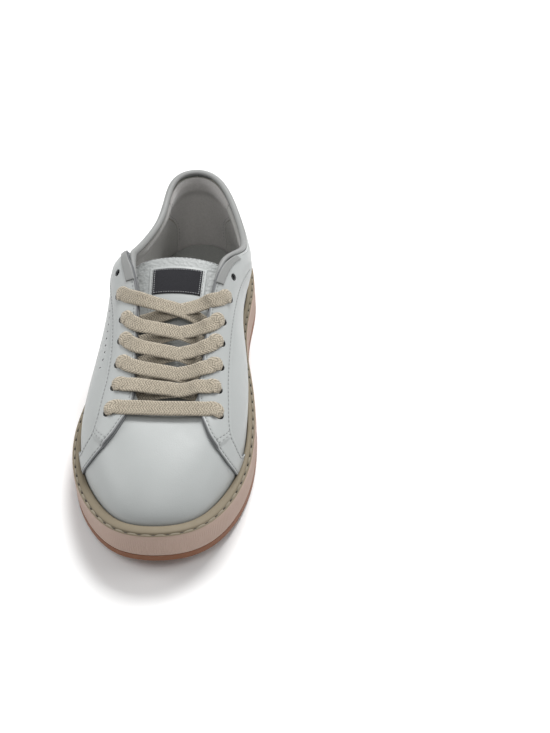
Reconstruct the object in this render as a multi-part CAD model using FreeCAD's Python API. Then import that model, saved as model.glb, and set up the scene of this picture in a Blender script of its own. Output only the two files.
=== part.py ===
"""Court shoe for the right foot: a stitched rubber cup sole with a lasted leather upper.

Millimetres.  +Z is up, -Y points to the toe, +Y to the heel and +X to the inner side of the foot.
The origin is at the ground, below the middle of the shoe's bounding box.
"""
import math
import os
from functools import lru_cache

import FreeCAD
import Part

# ---------------------------------------------------------------- driving dimensions
LENGTH = 300.2            # outsole, toe to heel
BALL_WIDTH = 110.5        # outsole, at its widest
UPPER_HEIGHT = 61.4       # back of the collar over the cup's lip
WALL_HEIGHT = 21.2        # cup wall over the ground at the ball
LIP_RISE = 4.0            # extra wall height at the heel
TOE_SPRING = 10.65        # lift of the toe tip
HEEL_BEVEL = 1.5          # lift of the heel's back edge
OUTSOLE = 4.0             # gum outsole
TREAD_DEPTH = 1.6
TREAD_PITCH = 11.0
TREAD_GROOVE = 2.2
TREAD_RIM = 7.0           # smooth border round the tread
WALL_FLARE = 1.2          # how far the wall leans out towards the ground
CUP_FLOOR = 3.0
LIP_GAP = 0.3             # air between cup and upper
STITCH_PITCH = 7.7
STITCH_LENGTH = 5.4
STITCH_WIDTH = 1.3
STITCH_SEAT_WIDTH = 2.4   # ledge along the wall's outer top edge
STITCH_SEAT_DEPTH = 1.6
UPPER_DEPTH = 9.0         # how far the upper reaches down into the cup
LEATHER = 1.4             # vamp and quarters
OVERLAY = 1.3             # facings and heel tab
STIFFENER = 0.8           # toe puff, heel counter, eyelet stays
LINING = 1.2
COLLAR_FOAM = 2.4
LAYER_GAP = 0.15          # glue line between two layers
INSOLE_BOARD = 2.0
FOOTBED = 5.5
TONGUE_LEATHER = 1.2
TONGUE_FOAM = 3.6
TONGUE_LINING = 1.0
TONGUE_DROP = 6.8         # tongue below the throat's edges
TONGUE_ARCH = 0.0075      # crosswise curve: drop per square of the distance from the middle
TONGUE_TIP = 8.5          # tongue past the top of the facings
TONGUE_HALF_WIDTHS = (23.0, 25.0, 27.0, 28.0, 28.0, 28.0, 30.0, 30.0)
PATCH_LEATHER = 0.8
PATCH_AREA = (0.59, 0.68, 0.872)    # half width, low and high end, as shares of the tongue
LABEL_WEAVE = 0.6
LABEL_AREA = (0.505, 0.763, 0.858)
TAB_LEATHER = 0.8
EYELET_RADIUS = 2.4
LACE_WIDTH = 9.0
LACE_THICKNESS = 1.3
LACE_BUNCHED_WIDTH = 2.8  # the lace where it is squeezed through an eyelet
LACE_BUNCHED_THICKNESS = 1.9
LACE_GAP = 0.3
AGLET_LENGTH = 20.0
AGLET_RADIUS = 1.6
BEAD_WIDTH = 4.6          # rolled collar binding
BEAD_HEIGHT = 3.4
VENT_RADIUS = 0.6

# ---------------------------------------------------------------- drawn form
# One row a station, from the toe tip round the inner side to the heel and back along the outer side.
# Columns: outline x, y; inset of the upper from the outline; offset and height of the rib's lower handle;
# top edge x, y and height over the lip; the upper handle's shift across, along and down from the top edge.
TOE_TIP = (3.0, -150.5, 7.0, -5, 17, 1.5, -77.0, 31.3, 0, -34, 1)
INNER = (
    (24.6, -144.1, 7.0, -5, 17, 9.0, -76.5, 31.5, 6, -30, 1),
    (40.0, -125.7, 7.0, -4, 17, 16.5, -73.5, 33.3, 14, -20, 1.5),
    (49.2, -98.3, 6.0, -1, 17, 20.5, -65.0, 38.3, 20, -9, 3),
    (52.1, -66.0, 5.0, 9, 18, 21.5, -48.0, 46.8, 22, -3, 5),
    (49.1, -25.7, 5.0, 13, 21, 22.0, -27.0, 56.3, 22, 0, 6),
    (42.8, 12.2, 5.0, 12, 26, 24.0, -7.0, 65.5, 19, 0, 8),
    (41.2, 44.0, 5.0, 11, 30, 30.0, 16.0, 72.0, 15, 4, 14),
    (43.0, 71.8, 5.0, 5, 28, 39.5, 42.0, 62.3, 8, 4, 18),
    (42.0, 98.0, 5.5, -2, 22, 39.0, 72.0, 51.6, 3, 2, 16),
    (35.6, 123.7, 6.0, -5, 20, 32.0, 101.0, 52.0, 3, 2, 18),
    (20.4, 143.3, 6.0, -5, 22, 18.5, 130.0, 58.8, 2, 3, 22),
)
HEEL_TIP = (0.0, 149.7, 6.0, -5, 24, -1.0, 141.0, 61.4, 0, 4, 24)
OUTER = (
    (-20.9, 142.6, 6.0, -5, 22, -19.0, 130.0, 58.8, -3, 3, 22),
    (-36.8, 121.7, 6.0, -5, 20, -23.5, 101.0, 52.0, -7, 2, 18),
    (-41.9, 96.8, 5.5, -3, 22, -29.0, 72.0, 51.6, -8, 2, 16),
    (-43.9, 69.9, 5.0, 1, 26, -32.0, 42.0, 61.3, -11, 4, 18),
    (-47.1, 41.9, 5.0, 12, 30, -29.0, 17.0, 72.0, -20, 4, 14),
    (-51.6, 8.1, 5.0, 12, 26, -22.0, -6.0, 65.5, -24, 0, 8),
    (-56.4, -29.8, 5.0, 10, 21, -19.5, -27.0, 56.3, -23, 0, 6),
    (-58.4, -68.0, 5.0, 6, 18, -18.0, -48.0, 46.8, -22, -3, 5),
    (-51.2, -101.9, 6.0, -1, 17, -17.5, -65.0, 38.3, -20, -9, 3),
    (-37.4, -128.3, 7.0, -4, 17, -13.0, -73.5, 33.3, -14, -20, 1.5),
    (-19.1, -146.1, 7.0, -5, 17, -6.0, -76.5, 31.5, -6, -30, 1),
)
STATIONS = (TOE_TIP,) + INNER + (HEEL_TIP,) + OUTER
ROUND = len(STATIONS)
DRAWN_LENGTH = 300.2
DRAWN_WIDTH = 110.5
DRAWN_HEIGHT = 61.4
ALONG = LENGTH / DRAWN_LENGTH
ACROSS = BALL_WIDTH / DRAWN_WIDTH
UPWARD = UPPER_HEIGHT / DRAWN_HEIGHT
SPRING_START = -72.0 * ALONG
SPRING_RUN = 78.5 * ALONG
BEVEL_START = 138.0 * ALONG
BEVEL_RUN = 11.7 * ALONG

def ground(y):
    if y < SPRING_START:
        return TOE_SPRING * ((SPRING_START - y) / SPRING_RUN) ** 2
    if y > BEVEL_START:
        return HEEL_BEVEL * ((y - BEVEL_START) / BEVEL_RUN) ** 2
    return 0.0

def lip(y):
    return ground(y) + WALL_HEIGHT + LIP_RISE * max(0.0, (y / ALONG + 20.0) / 170.0)

class Ring:
    """A closed, smooth curve through points: a uniform cubic B-spline."""
    def __init__(self, points):
        self.count = len(points)
        poles = [list(p) for p in points]
        for _ in range(60):
            for i in range(self.count):
                near, far = poles[i - 1], poles[(i + 1) % self.count]
                poles[i] = [(6 * q - a - b) / 4 for q, a, b in zip(points[i], near, far)]
        self.poles = poles
    def at(self, u):
        first = math.floor(u)
        t = u - first
        weights = ((1 - t) ** 3 / 6, (3 * t ** 3 - 6 * t * t + 4) / 6,
                   (-3 * t ** 3 + 3 * t * t + 3 * t + 1) / 6, t ** 3 / 6)
        chosen = [self.poles[(first - 1 + k) % self.count] for k in range(4)]
        return [sum(w * p[axis] for w, p in zip(weights, chosen)) for axis in range(len(chosen[0]))]


OUTLINE = Ring([(s[0] * ACROSS, s[1] * ALONG) for s in STATIONS])


def outline(u, offset=0.0):
    step = 0.001
    x, y = OUTLINE.at(u)
    ahead, behind = OUTLINE.at(u + step), OUTLINE.at(u - step)
    dx, dy = ahead[0] - behind[0], ahead[1] - behind[1]
    size = math.hypot(dx, dy)
    return x + offset * dy / size, y - offset * dx / size

def control_rings():
    foot, rise, low, high, edge = [], [], [], [], []
    for i, s in enumerate(STATIONS):
        x, y = outline(i, -s[2])
        z = lip(y) + LIP_GAP
        a = (x, y, z)
        hx, hy = outline(i, s[3])
        b = (hx, hy, z + s[4] * UPWARD)
        t = (s[5] * ACROSS, s[6] * ALONG, lip(s[6] * ALONG) + s[7] * UPWARD)
        c = (t[0] + s[8] * ACROSS, t[1] + s[9] * ALONG, t[2] - s[10] * UPWARD)
        foot.append(a)
        rise.append((x, y, z + 0.42 * s[4] * UPWARD))
        low.append([(p + q) / 2 for p, q in zip(b, c)])
        high.append([(3 * p + q) / 4 for p, q in zip(c, t)])
        edge.append(t)
    return [Ring(r) for r in (foot, rise, low, high, edge)]

RIB_RINGS = control_rings()

@lru_cache(maxsize=None)
def rib(u):
    return [ring.at(u) for ring in RIB_RINGS]

def skin_bare(u, v):
    points = rib(u)
    if v < 0:
        x, y, z = points[0]
        return [x, y, z + v * UPPER_DEPTH]
    w = ((1 - v) ** 4, 4 * v * (1 - v) ** 3, 6 * v * v * (1 - v) ** 2, 4 * v ** 3 * (1 - v), v ** 4)
    return [sum(a * p[k] for a, p in zip(w, points)) for k in range(3)]


def skin(u, v, offset=0.0):
    """Point of the upper at station u and rib share v, moved out by offset along the normal."""
    step = 0.004
    x, y, z = skin_bare(u, v)
    a, b = skin_bare(u + step, v), skin_bare(u - step, v)
    high = min(v + step, 1.0)
    c, d = skin_bare(u, high), skin_bare(u, high - 2 * step)
    p = [m - n for m, n in zip(a, b)]
    q = [m - n for m, n in zip(c, d)]
    normal = unit(cross(p, q))
    return [x + offset * normal[0], y + offset * normal[1], z + offset * normal[2]]


def cross(a, b):
    return [a[1] * b[2] - a[2] * b[1], a[2] * b[0] - a[0] * b[2], a[0] * b[1] - a[1] * b[0]]


def unit(a):
    size = math.sqrt(sum(c * c for c in a))
    return [c / size for c in a]


def mix(a, b, t):
    return [p + (q - p) * t for p, q in zip(a, b)]


def ease(t):
    t = min(1.0, max(0.0, t))
    return t * t * (3 - 2 * t)


def flow(points, t):
    """Smooth curve through evenly spaced points, for t from 0 to 1."""
    place = t * (len(points) - 1)
    first = min(int(place), len(points) - 2)
    f = place - first
    b, c = points[first], points[first + 1]
    a = points[first - 1] if first > 0 else [2 * m - n for m, n in zip(b, c)]
    d = points[first + 2] if first + 2 < len(points) else [2 * m - n for m, n in zip(c, b)]
    return [0.5 * (2 * q + (r - p) * f + (2 * p - 5 * q + 4 * r - s) * f * f
                   + (3 * q - p - 3 * r + s) * f ** 3) for p, q, r, s in zip(a, b, c, d)]


def vector(point):
    return FreeCAD.Vector(*point)


# ---------------------------------------------------------------- solid builders
def closed_solid(faces):
    shell = Part.Shell(faces)
    shell.sewShape()
    solid = Part.Solid(shell)
    if solid.Volume < 0:
        solid.reverse()
    return solid


def sheet(outer, inner):
    """Solid between two grids of points with the same number of rows and columns."""
    faces, rims = [], []
    for grid in (outer, inner):
        surface = Part.BSplineSurface()
        surface.interpolate([[vector(p) for p in row] for row in grid])
        faces.append(surface.toShape())
        u0, u1, v0, v1 = surface.bounds()
        rims.append([surface.uIso(u0), surface.uIso(u1), surface.vIso(v0), surface.vIso(v1)])
    for a, b in zip(*rims):
        faces.append(Part.makeRuledSurface(a.toShape(), b.toShape()))
    return closed_solid(faces)


def panel(domain, top, under, rows, columns, surface=skin):
    """Leather panel: domain maps (s, t) in the unit square to the surface, top and under are offsets."""
    grids = []
    for offset in (top, under):
        grid = []
        for i in range(rows + 1):
            row = []
            for j in range(columns + 1):
                u, v = domain(j / columns, i / rows)
                depth = offset(u, v) if callable(offset) else offset
                row.append(surface(u, v, depth))
            grid.append(row)
        grids.append(grid)
    return sheet(*grids)


def between(left, right):
    """Domain between two curves in (u, v), each a list of points from bottom to top."""
    return lambda s, t: mix(flow(left, t), flow(right, t), s)


def tube(sections):
    """Solid through closed, planar sections, each a list of points with no repeat."""
    surface = Part.BSplineSurface()
    surface.interpolate([[vector(p) for p in section + section[:1]] for section in sections])
    u0, u1 = surface.bounds()[:2]
    caps = [Part.Face(Part.Wire(surface.uIso(u).toShape())) for u in (u0, u1)]
    return closed_solid([surface.toShape()] + caps)


def outline_wire(offset, z, samples=96):
    points = [FreeCAD.Vector(*outline(i * ROUND / samples, offset), z) for i in range(samples)]
    curve = Part.BSplineCurve()
    curve.interpolate(Points=points, PeriodicFlag=True)
    return Part.Wire(curve.toShape())


def prism(inset, low=-10.0, high=80.0):
    """Upright prism whose plan is the outline moved in by inset (a number or a function of u)."""
    samples = 96
    points = []
    for i in range(samples):
        u = i * ROUND / samples
        amount = inset(u) if callable(inset) else inset
        points.append(FreeCAD.Vector(*outline(u, -amount), low))
    curve = Part.BSplineCurve()
    curve.interpolate(Points=points, PeriodicFlag=True)
    return Part.Face(Part.Wire(curve.toShape())).extrude(FreeCAD.Vector(0, 0, high - low))


def side_curve(height):
    """Side-view curve z = height(y): a spring arc, a straight middle and a heel arc."""
    reach = LENGTH * 0.5 + 12.0
    stops = (-reach, SPRING_START, -20.0 * ALONG, BEVEL_START, reach)
    edges = []
    for a, b in zip(stops, stops[1:]):
        count = 12
        points = [FreeCAD.Vector(0, a + (b - a) * i / count, height(a + (b - a) * i / count))
                  for i in range(count + 1)]
        if max(abs(p.z - points[0].z) for p in points) < 0.0001:
            edges.append(Part.LineSegment(points[0], points[-1]).toShape())
        else:
            curve = Part.BSplineCurve()
            curve.interpolate(points)
            edges.append(curve.toShape())
    return edges


def slab(low, high):
    """Block that spans the whole width between two side-view height functions."""
    reach = LENGTH * 0.5 + 12.0
    bottom, top = side_curve(low), side_curve(high)
    ends = []
    for y in (-reach, reach):
        ends.append(Part.makeLine(FreeCAD.Vector(0, y, low(y)), FreeCAD.Vector(0, y, high(y))))
    wire = Part.Wire(Part.__sortEdges__(bottom + top + ends))
    face = Part.Face(wire)
    face.translate(FreeCAD.Vector(-BALL_WIDTH, 0, 0))
    return face.extrude(FreeCAD.Vector(2 * BALL_WIDTH, 0, 0))


def raised(curve, amount):
    return lambda y: curve(y) + amount


# ---------------------------------------------------------------- sole
def upper_inset(u):
    """Inset of the upper's foot ring from the outline, smooth between stations."""
    return INSETS.at(u)[0]


INSETS = Ring([(s[2],) for s in STATIONS])


def wall_body():
    """The whole sole's outside: a loft that leans out towards the ground."""
    low = outline_wire(WALL_FLARE, -2.0)
    high = outline_wire(-0.4, WALL_HEIGHT + TOE_SPRING + LIP_RISE + 6.0)
    return Part.makeLoft([low, high], True, True)


def tread_cutter():
    """Zigzag grooves across the sole, kept inside a smooth border and following the toe spring."""
    bars = []
    tooth = TREAD_PITCH
    half = TREAD_GROOVE / 2
    count = int(LENGTH / TREAD_PITCH)
    for i in range(count):
        y = -LENGTH / 2 + (i + 0.5) * TREAD_PITCH
        steps = int(BALL_WIDTH / tooth) + 2
        xs = [(-steps / 2 + k) * tooth for k in range(steps + 1)]
        zig = [(x, y + (tooth * 0.3 if k % 2 else -tooth * 0.3)) for k, x in enumerate(xs)]
        ring = [FreeCAD.Vector(x, q + half, -3) for x, q in zig]
        ring += [FreeCAD.Vector(x, q - half, -3) for x, q in reversed(zig)]
        ring.append(ring[0])
        bars.append(Part.Face(Part.makePolygon(ring)).extrude(FreeCAD.Vector(0, 0, 30)))
    inside = prism(TREAD_RIM).common(slab(raised(ground, -2.0), raised(ground, TREAD_DEPTH)))
    return inside.common(Part.makeCompound(bars))


def make_outsole():
    body = wall_body().common(slab(ground, raised(ground, OUTSOLE)))
    return body.cut(tread_cutter())


def make_cupsole():
    body = wall_body().common(slab(raised(ground, OUTSOLE), lip))
    floor = raised(ground, OUTSOLE + CUP_FLOOR)
    cavity = prism(lambda u: upper_inset(u) - LIP_GAP).common(slab(floor, raised(lip, 10.0)))
    ledge = prism(-10.0).cut(prism(STITCH_SEAT_WIDTH))
    ledge = ledge.common(slab(raised(lip, -STITCH_SEAT_DEPTH), raised(lip, 10.0)))
    return body.cut(cavity).cut(ledge)


def stitch_stations():
    """Stations round the outline a stitch pitch apart, and the length of the run."""
    fine = 1200
    ring = [outline(i * ROUND / fine, -STITCH_SEAT_WIDTH / 2) for i in range(fine + 1)]
    lengths = [0.0]
    for a, b in zip(ring, ring[1:]):
        lengths.append(lengths[-1] + math.dist(a, b))
    count = round(lengths[-1] / STITCH_PITCH)
    found, k = [], 0
    for i in range(count):
        goal = lengths[-1] * i / count
        while lengths[k + 1] < goal:
            k += 1
        share = (goal - lengths[k]) / (lengths[k + 1] - lengths[k])
        found.append((k + share) * ROUND / fine)
    return found


def make_stitching():
    """Thread of the sidewall stitch, one spindle for each visible stitch."""
    solids = []
    for u in stitch_stations():
        x, y = outline(u, -STITCH_SEAT_WIDTH / 2 + 0.1)
        ahead, behind = outline(u + 0.02, 0), outline(u - 0.02, 0)
        rise = lip(ahead[1]) - lip(behind[1])
        run = unit([ahead[0] - behind[0], ahead[1] - behind[1], rise])
        side = unit(cross(run, [0, 0, 1]))
        up = cross(side, run)
        centre = [x, y, lip(y) - STITCH_SEAT_DEPTH + 0.2 + STITCH_WIDTH / 2]
        sections = []
        for place, size in ((-1, 0.45), (-0.8, 0.85), (0, 1), (0.8, 0.85), (1, 0.45)):
            ring = []
            for k in range(8):
                angle = math.tau * k / 8
                reach = STITCH_WIDTH / 2 * size
                ring.append([c + r * place * STITCH_LENGTH / 2 + s * math.cos(angle) * reach
                             + w * math.sin(angle) * reach for c, r, s, w in zip(centre, run, side, up)])
            sections.append(ring)
        solids.append(tube(sections))
    return Part.makeCompound(solids)


def board_top(y):
    return lip(y) - UPPER_DEPTH + 0.6


def make_inner_sole():
    """Foam filler, insole board and footbed, stacked inside the cup and the upper."""
    inside = prism(lambda u: upper_inset(u) + STACK + 2 * LIP_GAP)
    filler = prism(lambda u: upper_inset(u) + LIP_GAP)
    floor = raised(ground, OUTSOLE + CUP_FLOOR)
    foam = filler.common(slab(floor, lambda y: board_top(y) - INSOLE_BOARD - 1.6))
    board = inside.common(slab(lambda y: board_top(y) - INSOLE_BOARD, board_top))
    bed = inside.common(slab(raised(board_top, LAYER_GAP), raised(board_top, LAYER_GAP + FOOTBED)))
    return foam, board, bed


# ---------------------------------------------------------------- upper layers
UNDER_LEATHER = LEATHER + LAYER_GAP
UNDER_STIFFENER = UNDER_LEATHER + STIFFENER + LAYER_GAP
STACK = UNDER_STIFFENER + LINING
HEEL = ROUND / 2
COLLAR_START = 7.0        # station of the facing's top corner
BINDING_ROOM = 0.034      # share of a rib that the rolled binding takes


def top_share(u):
    """How far up its rib a panel reaches: all the way at the throat, less under the rolled binding."""
    reach = min(u % ROUND, ROUND - u % ROUND)
    return 1.0 - BINDING_ROOM * ease((reach - COLLAR_START + 0.45) / 0.6)


def trimmed(domain):
    def shaped(s, t):
        u, v = domain(s, t)
        return (u, v * top_share(u) if v > 0 else v)
    return shaped


def mirrored(domain):
    """The same domain on the outer side of the shoe."""
    def shaped(s, t):
        u, v = domain(s, t)
        return (ROUND - u, v)
    return shaped


# Seam lines, as (station, rib share), bottom to top.
VAMP_SEAM = ((3.2, -1.0), (3.2, -0.4), (3.1, 0.05), (2.92, 0.2), (2.7, 0.38), (2.58, 0.55), (2.62, 0.75),
             (2.75, 1.0))
SEAM_GAP = 0.05
FACING_FRONT = ((2.95, 0.0), (2.78, 0.17), (2.46, 0.38), (2.2, 0.56), (2.06, 0.72), (2.2, 0.9), (2.9, 1.0),
                (3.9, 1.0), (4.9, 1.0), (5.9, 1.0), (6.75, 1.0), (7.5, 1.0))
FACING_REAR = ((3.55, 0.0), (3.25, 0.17), (3.02, 0.38), (2.95, 0.5), (3.1, 0.585), (3.4, 0.65), (3.85, 0.71),
               (4.5, 0.74), (5.25, 0.733), (6.1, 0.69), (6.85, 0.66), (7.75, 0.68))
STAY_EDGE = ((3.05, 0.975), (3.9, 0.975), (4.9, 0.975), (5.9, 0.975), (6.7, 0.975))
STAY_REAR = ((3.35, 0.68), (4.1, 0.76), (5.0, 0.755), (6.0, 0.72), (6.8, 0.7))
TAB_EDGE = ((6.22, 0.998), (6.6, 0.998), (6.95, 0.985), (7.3, 0.97))
TAB_REAR = ((6.22, 0.925), (6.6, 0.92), (6.95, 0.915), (7.3, 0.9))
HEEL_SEAM = ((10.6, -0.95), (10.7, 0.0), (10.8, 0.4), (10.45, 0.7), (10.4, 0.985))
EYELETS = ((2.73, 0.708), (3.30, 0.814), (3.93, 0.84), (4.55, 0.858), (5.15, 0.866), (5.93, 0.822),
           (6.58, 0.845))
VENTS = ((5.82, 0.65), (5.62, 0.652), (5.42, 0.654), (5.22, 0.655), (5.02, 0.656), (4.83, 0.656),
         (4.65, 0.656), (4.49, 0.64), (4.36, 0.61))


def seam_shift(seam, amount):
    return [(u + amount, v) for u, v in seam]


def rear_line(u, seam):
    return [(u, v) for _, v in seam]


def padding(u, v):
    """Extra depth of the lining behind the collar foam."""
    around = ease((u - 7.7) / 1.0) * ease((ROUND - 7.7 - u) / 1.0)
    upward = ease((v - 0.70) / 0.12) * ease((1.0 - v) / 0.12)
    return COLLAR_FOAM * around * upward


def lining_top(u, v):
    return -(UNDER_STIFFENER + padding(u, v))


def lining_under(u, v):
    return lining_top(u, v) - LINING


def straight_domain(u0, u1, v0, v1):
    """Rectangle in stations and rib shares, its rows evenly spaced in millimetres."""
    low = v0 * UPPER_DEPTH if v0 < 0 else v0 * UPPER_HEIGHT
    high = v1 * UPPER_HEIGHT

    def shaped(s, t):
        reach = low + (high - low) * t
        return (u0 + (u1 - u0) * s, reach / UPPER_DEPTH if reach < 0 else reach / UPPER_HEIGHT)
    return shaped


def vamp_domain(s, t):
    u, v = flow(VAMP_SEAM, t)
    return ((2 * s - 1) * u, v)


QUARTER = trimmed(between(seam_shift(VAMP_SEAM, SEAM_GAP), rear_line(HEEL - 0.04, VAMP_SEAM)))
FACING = trimmed(lambda s, t: mix(flow(FACING_FRONT, t), flow(FACING_REAR, t), s))
STAY = between(STAY_EDGE, STAY_REAR)
TAB = between(TAB_EDGE, TAB_REAR)
SIDE_LINING = trimmed(between([(3.0, v) for _, v in HEEL_SEAM], seam_shift(HEEL_SEAM, -SEAM_GAP)))


def heel_lining_domain(s, t):
    u, v = flow(HEEL_SEAM, t)
    return (HEEL + (2 * s - 1) * (HEEL - u), v * top_share(u) if v > 0 else v)


def bore(u, v, radius, top=6.0, depth=12.0):
    """Round cutter through the upper at a rib point, along the local normal."""
    outside, inside = vector(skin(u, v, top)), vector(skin(u, v, top - depth))
    return Part.makeCylinder(radius, depth, outside, inside - outside)


def eyelet_cutters(side):
    return [bore(u if side > 0 else ROUND - u, v, EYELET_RADIUS) for u, v in EYELETS]


def make_upper():
    parts = {}
    lowest_holes = Part.makeCompound([eyelet_cutters(1)[0], eyelet_cutters(-1)[0]])
    parts["vamp"] = panel(vamp_domain, 0.0, -LEATHER, 22, 26).cut(lowest_holes)
    parts["toe_puff"] = panel(straight_domain(-2.3, 2.3, -0.95, 0.42), -UNDER_LEATHER,
                              -UNDER_LEATHER - STIFFENER, 22, 26)
    vamp_lining = panel(straight_domain(-2.9, 2.9, -0.95, 0.97), lining_top, lining_under, 22, 26)
    parts["vamp_lining"] = vamp_lining.cut(lowest_holes)
    parts["heel_counter"] = panel(straight_domain(9.3, 14.7, -0.95, 0.62), -UNDER_LEATHER,
                                  -UNDER_LEATHER - STIFFENER, 14, 24)
    parts["heel_lining"] = panel(heel_lining_domain, lining_top, lining_under, 26, 22)
    parts["collar_foam"] = panel(straight_domain(7.8, ROUND - 7.8, 0.74, 0.945), -UNDER_LEATHER,
                                 lambda u, v: lining_top(u, v) + LAYER_GAP, 10, 48)
    parts["heel_tab"] = panel(straight_domain(11.25, 12.75, 0.02, 0.955), LAYER_GAP + OVERLAY, LAYER_GAP,
                              22, 10)
    for side, name in ((1, "medial"), (-1, "lateral")):
        place = (lambda domain: domain) if side > 0 else mirrored
        cutters = eyelet_cutters(side)
        quarter = panel(place(QUARTER), 0.0, -LEATHER, 24, 44)
        facing = panel(place(FACING), LAYER_GAP + OVERLAY, LAYER_GAP, 44, 8)
        stay = panel(place(STAY), -UNDER_LEATHER, -UNDER_LEATHER - STIFFENER, 20, 6)
        lining = panel(place(SIDE_LINING), lining_top, lining_under, 26, 36)
        if side < 0:
            cutters_and_vents = cutters + [bore(ROUND - u, v, VENT_RADIUS, 4.0, 5.5) for u, v in VENTS]
            quarter = quarter.cut(Part.makeCompound(cutters_and_vents))
        else:
            quarter = quarter.cut(Part.makeCompound(cutters))
        holes = Part.makeCompound(cutters)
        parts["quarter_" + name] = quarter
        parts["facing_" + name] = facing.cut(holes)
        parts["eyelet_stay_" + name] = stay.cut(holes)
        parts["lining_" + name] = lining.cut(holes)
        tab_under = 2 * LAYER_GAP + OVERLAY
        parts["throat_tab_" + name] = panel(place(TAB), tab_under + TAB_LEATHER, tab_under, 10, 4)
    parts["collar_binding"] = make_binding()
    return parts


def make_binding():
    """Rolled binding along the collar's top edge."""
    first, last, count = COLLAR_START + 0.12, ROUND - COLLAR_START - 0.12, 72
    sections = []
    for i in range(count + 1):
        u = first + (last - first) * i / count
        size = 0.55 + 0.45 * ease(min(i, count - i) / 4)
        centre = skin(u, 1.0, -STACK / 2)
        out = unit([a - b for a, b in zip(skin(u, 1.0, 1.0), skin(u, 1.0, 0.0))])
        run = unit([a - b for a, b in zip(skin_bare(u + 0.01, 1.0), skin_bare(u - 0.01, 1.0))])
        up = unit(cross(out, run))
        if up[2] < 0:
            up = [-c for c in up]
        ring = []
        for k in range(12):
            angle = math.tau * k / 12
            reach = math.cos(angle) * BEAD_WIDTH / 2 * size
            lift = math.sin(angle) * BEAD_HEIGHT / 2 * size
            ring.append([c + o * reach + w * lift for c, o, w in zip(centre, out, up)])
        sections.append(ring)
    return tube(sections)


# ---------------------------------------------------------------- tongue
def throat_middle(u):
    """Middle between the throat's two edges at station u."""
    return mix(skin_bare(u, 1.0), skin_bare(ROUND - u, 1.0), 0.5)


def tongue_line():
    """Middle line of the tongue's face, from its sewn end under the vamp to its tip."""
    points = []
    for v, sink in ((0.86, 0.6), (0.93, 2.2), (0.985, 3.7)):
        x, y, z = skin(0.0, v, -STACK - LACE_GAP - sink)
        points.append([x, y, z])
    for u in (3.0, 4.0, 5.0, 6.0, COLLAR_START):
        x, y, z = throat_middle(u)
        points.append([x, y, z - TONGUE_DROP])
    run = unit([a - b for a, b in zip(points[-1], points[-2])])
    points.append([p + r * TONGUE_TIP for p, r in zip(points[-1], run)])
    return points


TONGUE_LINE = tongue_line()


def tongue_bare(s, t):
    x, y, z = flow(TONGUE_LINE, t)
    reach = s * flow([(w,) for w in TONGUE_HALF_WIDTHS], t)[0]
    return [x + reach, y, z - TONGUE_ARCH * reach * reach]


def tongue_face(s, t, offset=0.0):
    """Point of the tongue at share s across (-1 to 1) and share t along, moved out by offset."""
    step = 0.002
    high = min(t + step, 1.0)
    a, b = tongue_bare(s + step, t), tongue_bare(s - step, t)
    c, d = tongue_bare(s, high), tongue_bare(s, high - 2 * step)
    normal = unit(cross([m - n for m, n in zip(a, b)], [m - n for m, n in zip(c, d)]))
    return [p + offset * n for p, n in zip(tongue_bare(s, t), normal)]


def tongue_domain(side, low, high, corner=0.0):
    """Strip of the tongue; corner rounds its top corners off by that share of the length."""
    def shaped(s, t):
        across = side * (2 * s - 1)
        return (across, low + (high - corner * abs(across) ** 5 - low) * t)
    return shaped


def make_tongue():
    parts = {}
    under_leather = TONGUE_LEATHER + LAYER_GAP
    under_foam = under_leather + TONGUE_FOAM + LAYER_GAP
    parts["tongue_outer"] = panel(tongue_domain(1.0, 0.0, 1.0, 0.05), 0.0, -TONGUE_LEATHER,
                                  30, 14, tongue_face)
    parts["tongue_foam"] = panel(tongue_domain(0.93, 0.17, 0.98, 0.05), -under_leather,
                                 -under_leather - TONGUE_FOAM, 26, 14, tongue_face)
    parts["tongue_lining"] = panel(tongue_domain(0.98, 0.16, 0.995, 0.05), -under_foam,
                                   -under_foam - TONGUE_LINING, 26, 14, tongue_face)
    patch_top = LAYER_GAP + PATCH_LEATHER
    parts["label_patch"] = panel(tongue_domain(*PATCH_AREA), patch_top, LAYER_GAP, 10, 8, tongue_face)
    parts["tongue_label"] = panel(tongue_domain(*LABEL_AREA), patch_top + LAYER_GAP + LABEL_WEAVE,
                                  patch_top + LAYER_GAP, 6, 6, tongue_face)
    return parts


# ---------------------------------------------------------------- lace
OVER = LAYER_GAP + OVERLAY + LACE_GAP + LACE_THICKNESS / 2
UNDER = -(STACK + LACE_GAP + LACE_THICKNESS / 2)
FLAT = (LACE_WIDTH / 2, LACE_THICKNESS / 2)
EASING = (LACE_WIDTH * 0.27, LACE_BUNCHED_THICKNESS * 0.4)
BUNCHED = (LACE_BUNCHED_WIDTH / 2, LACE_BUNCHED_THICKNESS / 2)
LACED_ROWS = 6            # the top pair of eyelets stays empty
LACE_SPAN = 4             # sections in one solid of the lace
# Where the lace runs between two eyelets of the criss-cross: shares of the way across, and height over
# the throat's edges. The end that comes up on the outer side lies over the other one.
OUTER_CROSSING = ((0.3, 0.0), (0.6, 1.3))
INNER_CROSSING = ((0.3, -2.4), (0.55, -1.0), (0.78, 0.0))
BAR_RISE = ((0.1, 1.1), (0.5, 0.9), (0.9, 1.1))
TURN_ROOM = 3.7           # distance from an eyelet's axis at which the lace starts to turn in


def at_side(u, side):
    return u if side > 0 else ROUND - u


def hole_frame(row, side):
    """Centre of an eyelet, the outward normal and the direction away from the throat."""
    u, v = EYELETS[row]
    u = at_side(u, side)
    centre = skin(u, v)
    normal = unit([a - b for a, b in zip(skin(u, v, 1.0), centre)])
    edge = skin(u, 1.0)
    away = [a - b for a, b in zip(centre, edge)]
    lift = sum(a * n for a, n in zip(away, normal))
    return centre, normal, unit([a - lift * n for a, n in zip(away, normal)])


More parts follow.
